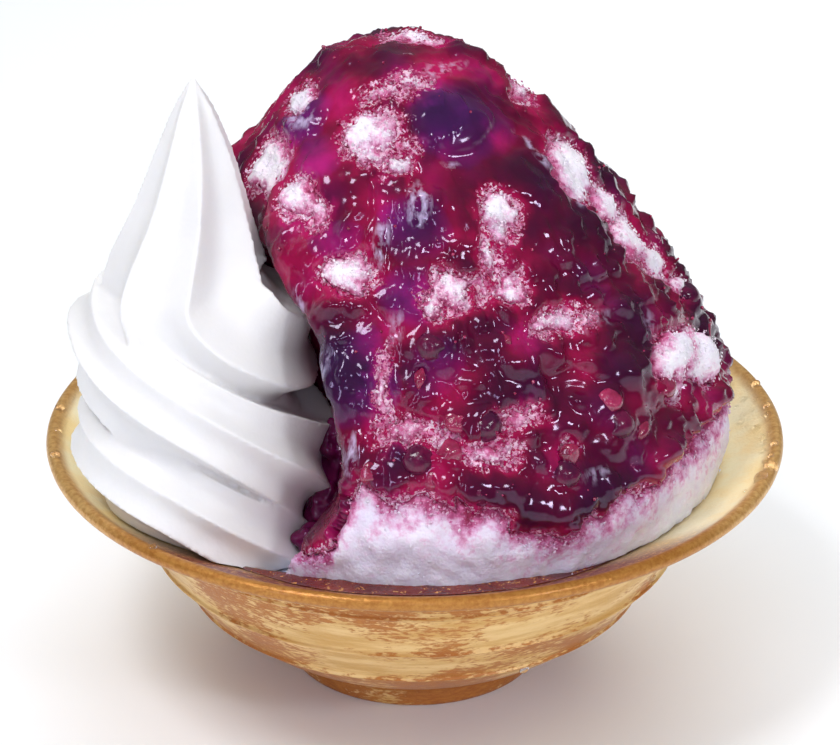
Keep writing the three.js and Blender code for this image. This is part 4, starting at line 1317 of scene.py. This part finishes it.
drops = {
    # azimuth, radius and size
    "rim": [(6.5, 75.0, 0.8), (0, 76.6, 1.2), (-6.5, 78.0, 1.1), (-9.5, 77.8, 0.9), (-20.5, 79.4, 1.8),
            (-4, 79.0, 0.8), (6.5, 77.0, 0.6), (11, 76.8, 0.9), (4.5, 74.0, 0.9), (-13, 79.8, 0.8),
            (10, 74.6, 0.6), (2, 74.4, 0.5), (14, 75.4, 0.6), (2, 79.4, 0.9), (5, 79.9, 1.1), (9, 78.7, 0.8),
            (13, 80.2, 1.2), (-4, 77.4, 0.8), (-9, 80.0, 1.0), (-14, 78.8, 0.9), (-17, 80.6, 1.7),
            (17, 76.8, 0.7), (22, 78.5, 0.9), (-24, 77.5, 0.7), (176, 80.2, 1.1), (184, 79.4, 0.9),
            (193, 80.4, 1.2), (228, 80.4, 0.9), (60, 79.0, 0.9), (100, 80.1, 1.0), (128, 78.2, 0.8),
            (150, 80.2, 1.1)],
    # azimuth, radius, height and size
    "body": [(-62, 50.2, 18.9, 1.1), (-128, 66, 47.0, 0.9), (-30, 60, 33.5, 0.9)],
    "uneven": 0.12, "flatness": 0.62, "rows": 11, "columns": 20,
    # outward and upward parts of the surfaces' slopes
    "flangeSlope": (-0.45, 0.89), "bodySlope": (0.8, -0.6),
}


# Height and slope of the flange or the lip at a radius
def surfaceOnRim(radius):
    flangeEnd, arcStart = bowl["inside"][0], lipArc()[-1]
    if radius <= flangeEnd[0]:
        return insideHeight(radius), drops["flangeSlope"]
    if radius <= arcStart[0]:
        return np.interp(radius, *np.stack([flangeEnd, arcStart], 1)), drops["flangeSlope"]
    across = (radius - (bowl["rimRadius"] - bowl["lipRadius"])) / bowl["lipRadius"]
    up = math.sqrt(max(1 - across ** 2, 0))
    return bowl["lipHeight"] + bowl["lipRadius"] * up, (across, up)


def makeDrops(material):
    onRim = [(azimuth, radius, *surfaceOnRim(radius), size) for azimuth, radius, size in drops["rim"]]
    onBody = [(*place, drops["bodySlope"], size) for *place, size in drops["body"]]
    grids = []
    for azimuth, radius, height, (out, up), size in onRim + onBody:
        a = math.radians(azimuth)
        middle = np.array([radius * math.cos(a), radius * math.sin(a), height])
        normal = np.array([out * math.cos(a), out * math.sin(a), up])
        ball = ballGrid(drops["rows"], drops["columns"])
        uneven = 1 + drops["uneven"] * noiseAt(ball, 1.1, azimuth * 0.37)
        ball = ball * uneven[..., None] * size * np.array([1, 1, drops["flatness"]])
        grids.append(closedGrid(turnTo(ball, normal / np.linalg.norm(normal)) + middle))
    makePiece("waterDrops", joinedMesh("waterDrops", grids), material)


def waterMaterial():
    clear = {"Base Color": (1, 1, 1, 1), "Roughness": 0.02, "Transmission Weight": 1.0, "IOR": 1.33}
    return newMaterial("water", clear)[0]


makeDrops(waterMaterial())
print("drops made")


# Floor, lights and camera

studio = {
    "floor": (0.95, 0.98, 1.0, 1), "floorReach": 3, "world": 0.25,
    # grey of the world's light from below, level and above
    "sky": [(0, (0.4, 0.4, 0.42)), (0.5, (0.7, 0.7, 0.72)), (1, (1, 1, 1))],
    "camera": (0, -0.58422, 0.34494), "target": (0, 0, 0.06), "lens": 124.67, "shift": (0.0062, 0.0433),
    # name, place, target, size, power, colour and whether it shows in reflections
    "lights": [
        ("key", (-0.30, -0.32, 0.78), (0, 0, 0.07), (0.22, 0.22), 2.7, (0.97, 0.97, 1.0), True),
        ("fill", (0.48, -0.56, 0.46), (0, 0, 0.07), (0.13, 0.13), 1.5, (0.93, 0.93, 1.0), True),
        ("front", (0.03, -0.80, 0.42), (0, 0, 0.08), (0.20, 0.07), 0.6, (0.80, 0.78, 1.0), True),
        ("side", (-0.42, -0.55, 0.30), (0, 0, 0.08), (0.05, 0.30), 0.5, (0.80, 0.78, 1.0), True),
        ("back", (0.15, 0.6, 0.55), (0, 0, 0.08), (0.6, 0.3), 2.2, (0.96, 0.97, 1.0), False),
        ("dome", (0, 0, 1.4), (0, 0, 0), (2.4, 2.4), 14.0, (1.0, 1.0, 1.0), False),
        ("floorFill", (0, -1.6, 0.7), (0, 0, 0.05), (1.6, 0.8), 3.4, (1.0, 1.0, 1.0), False),
    ],
}


def makeFloor():
    reach = studio["floorReach"]
    mesh = bpy.data.meshes.new("floor")
    corners = [(-reach, -reach, 0), (reach, -reach, 0), (reach, reach, 0), (-reach, reach, 0)]
    mesh.from_pydata(corners, [], [(0, 1, 2, 3)])
    mesh.materials.append(newMaterial("paleFloor", {"Base Color": studio["floor"], "Roughness": 0.7})[0])
    floor = bpy.data.objects.new("floor", mesh)
    bpy.context.scene.collection.objects.link(floor)


def aimAt(thing, place, target):
    thing.location = place
    thing.rotation_euler = (Vector(target) - Vector(place)).to_track_quat("-Z", "Y").to_euler()
    bpy.context.scene.collection.objects.link(thing)


def makeLight(name, place, target, size, power, color, mirrored):
    light = bpy.data.lights.new(name, "AREA")
    light.shape = "RECTANGLE"
    light.size, light.size_y = size
    light.energy = power
    light.color = color
    lamp = bpy.data.objects.new(name, light)
    lamp.visible_glossy = mirrored
    aimAt(lamp, place, target)


def makeWorld():
    world = bpy.data.worlds.new("studio")
    world.use_nodes = True
    tree = world.node_tree
    direction = addNode(tree, "ShaderNodeTexCoord").outputs["Generated"]
    height = addNode(tree, "ShaderNodeSeparateXYZ", Vector=direction).outputs["Z"]
    background = tree.nodes["Background"]
    feed(tree, background, "Color", rampNode(tree, height, studio["sky"]))
    background.inputs["Strength"].default_value = studio["world"]
    bpy.context.scene.world = world


def makeCamera():
    view = bpy.data.cameras.new("camera")
    view.sensor_width = 36
    view.lens = studio["lens"]
    view.shift_x, view.shift_y = studio["shift"]
    view.clip_start = 0.05
    camera = bpy.data.objects.new("camera", view)
    aimAt(camera, studio["camera"], studio["target"])
    bpy.context.scene.camera = camera


makeFloor()
for row in studio["lights"]:
    makeLight(*row)
makeWorld()
bpy.context.scene.view_settings.view_transform = "Standard"
makeCamera()
print("studio set")
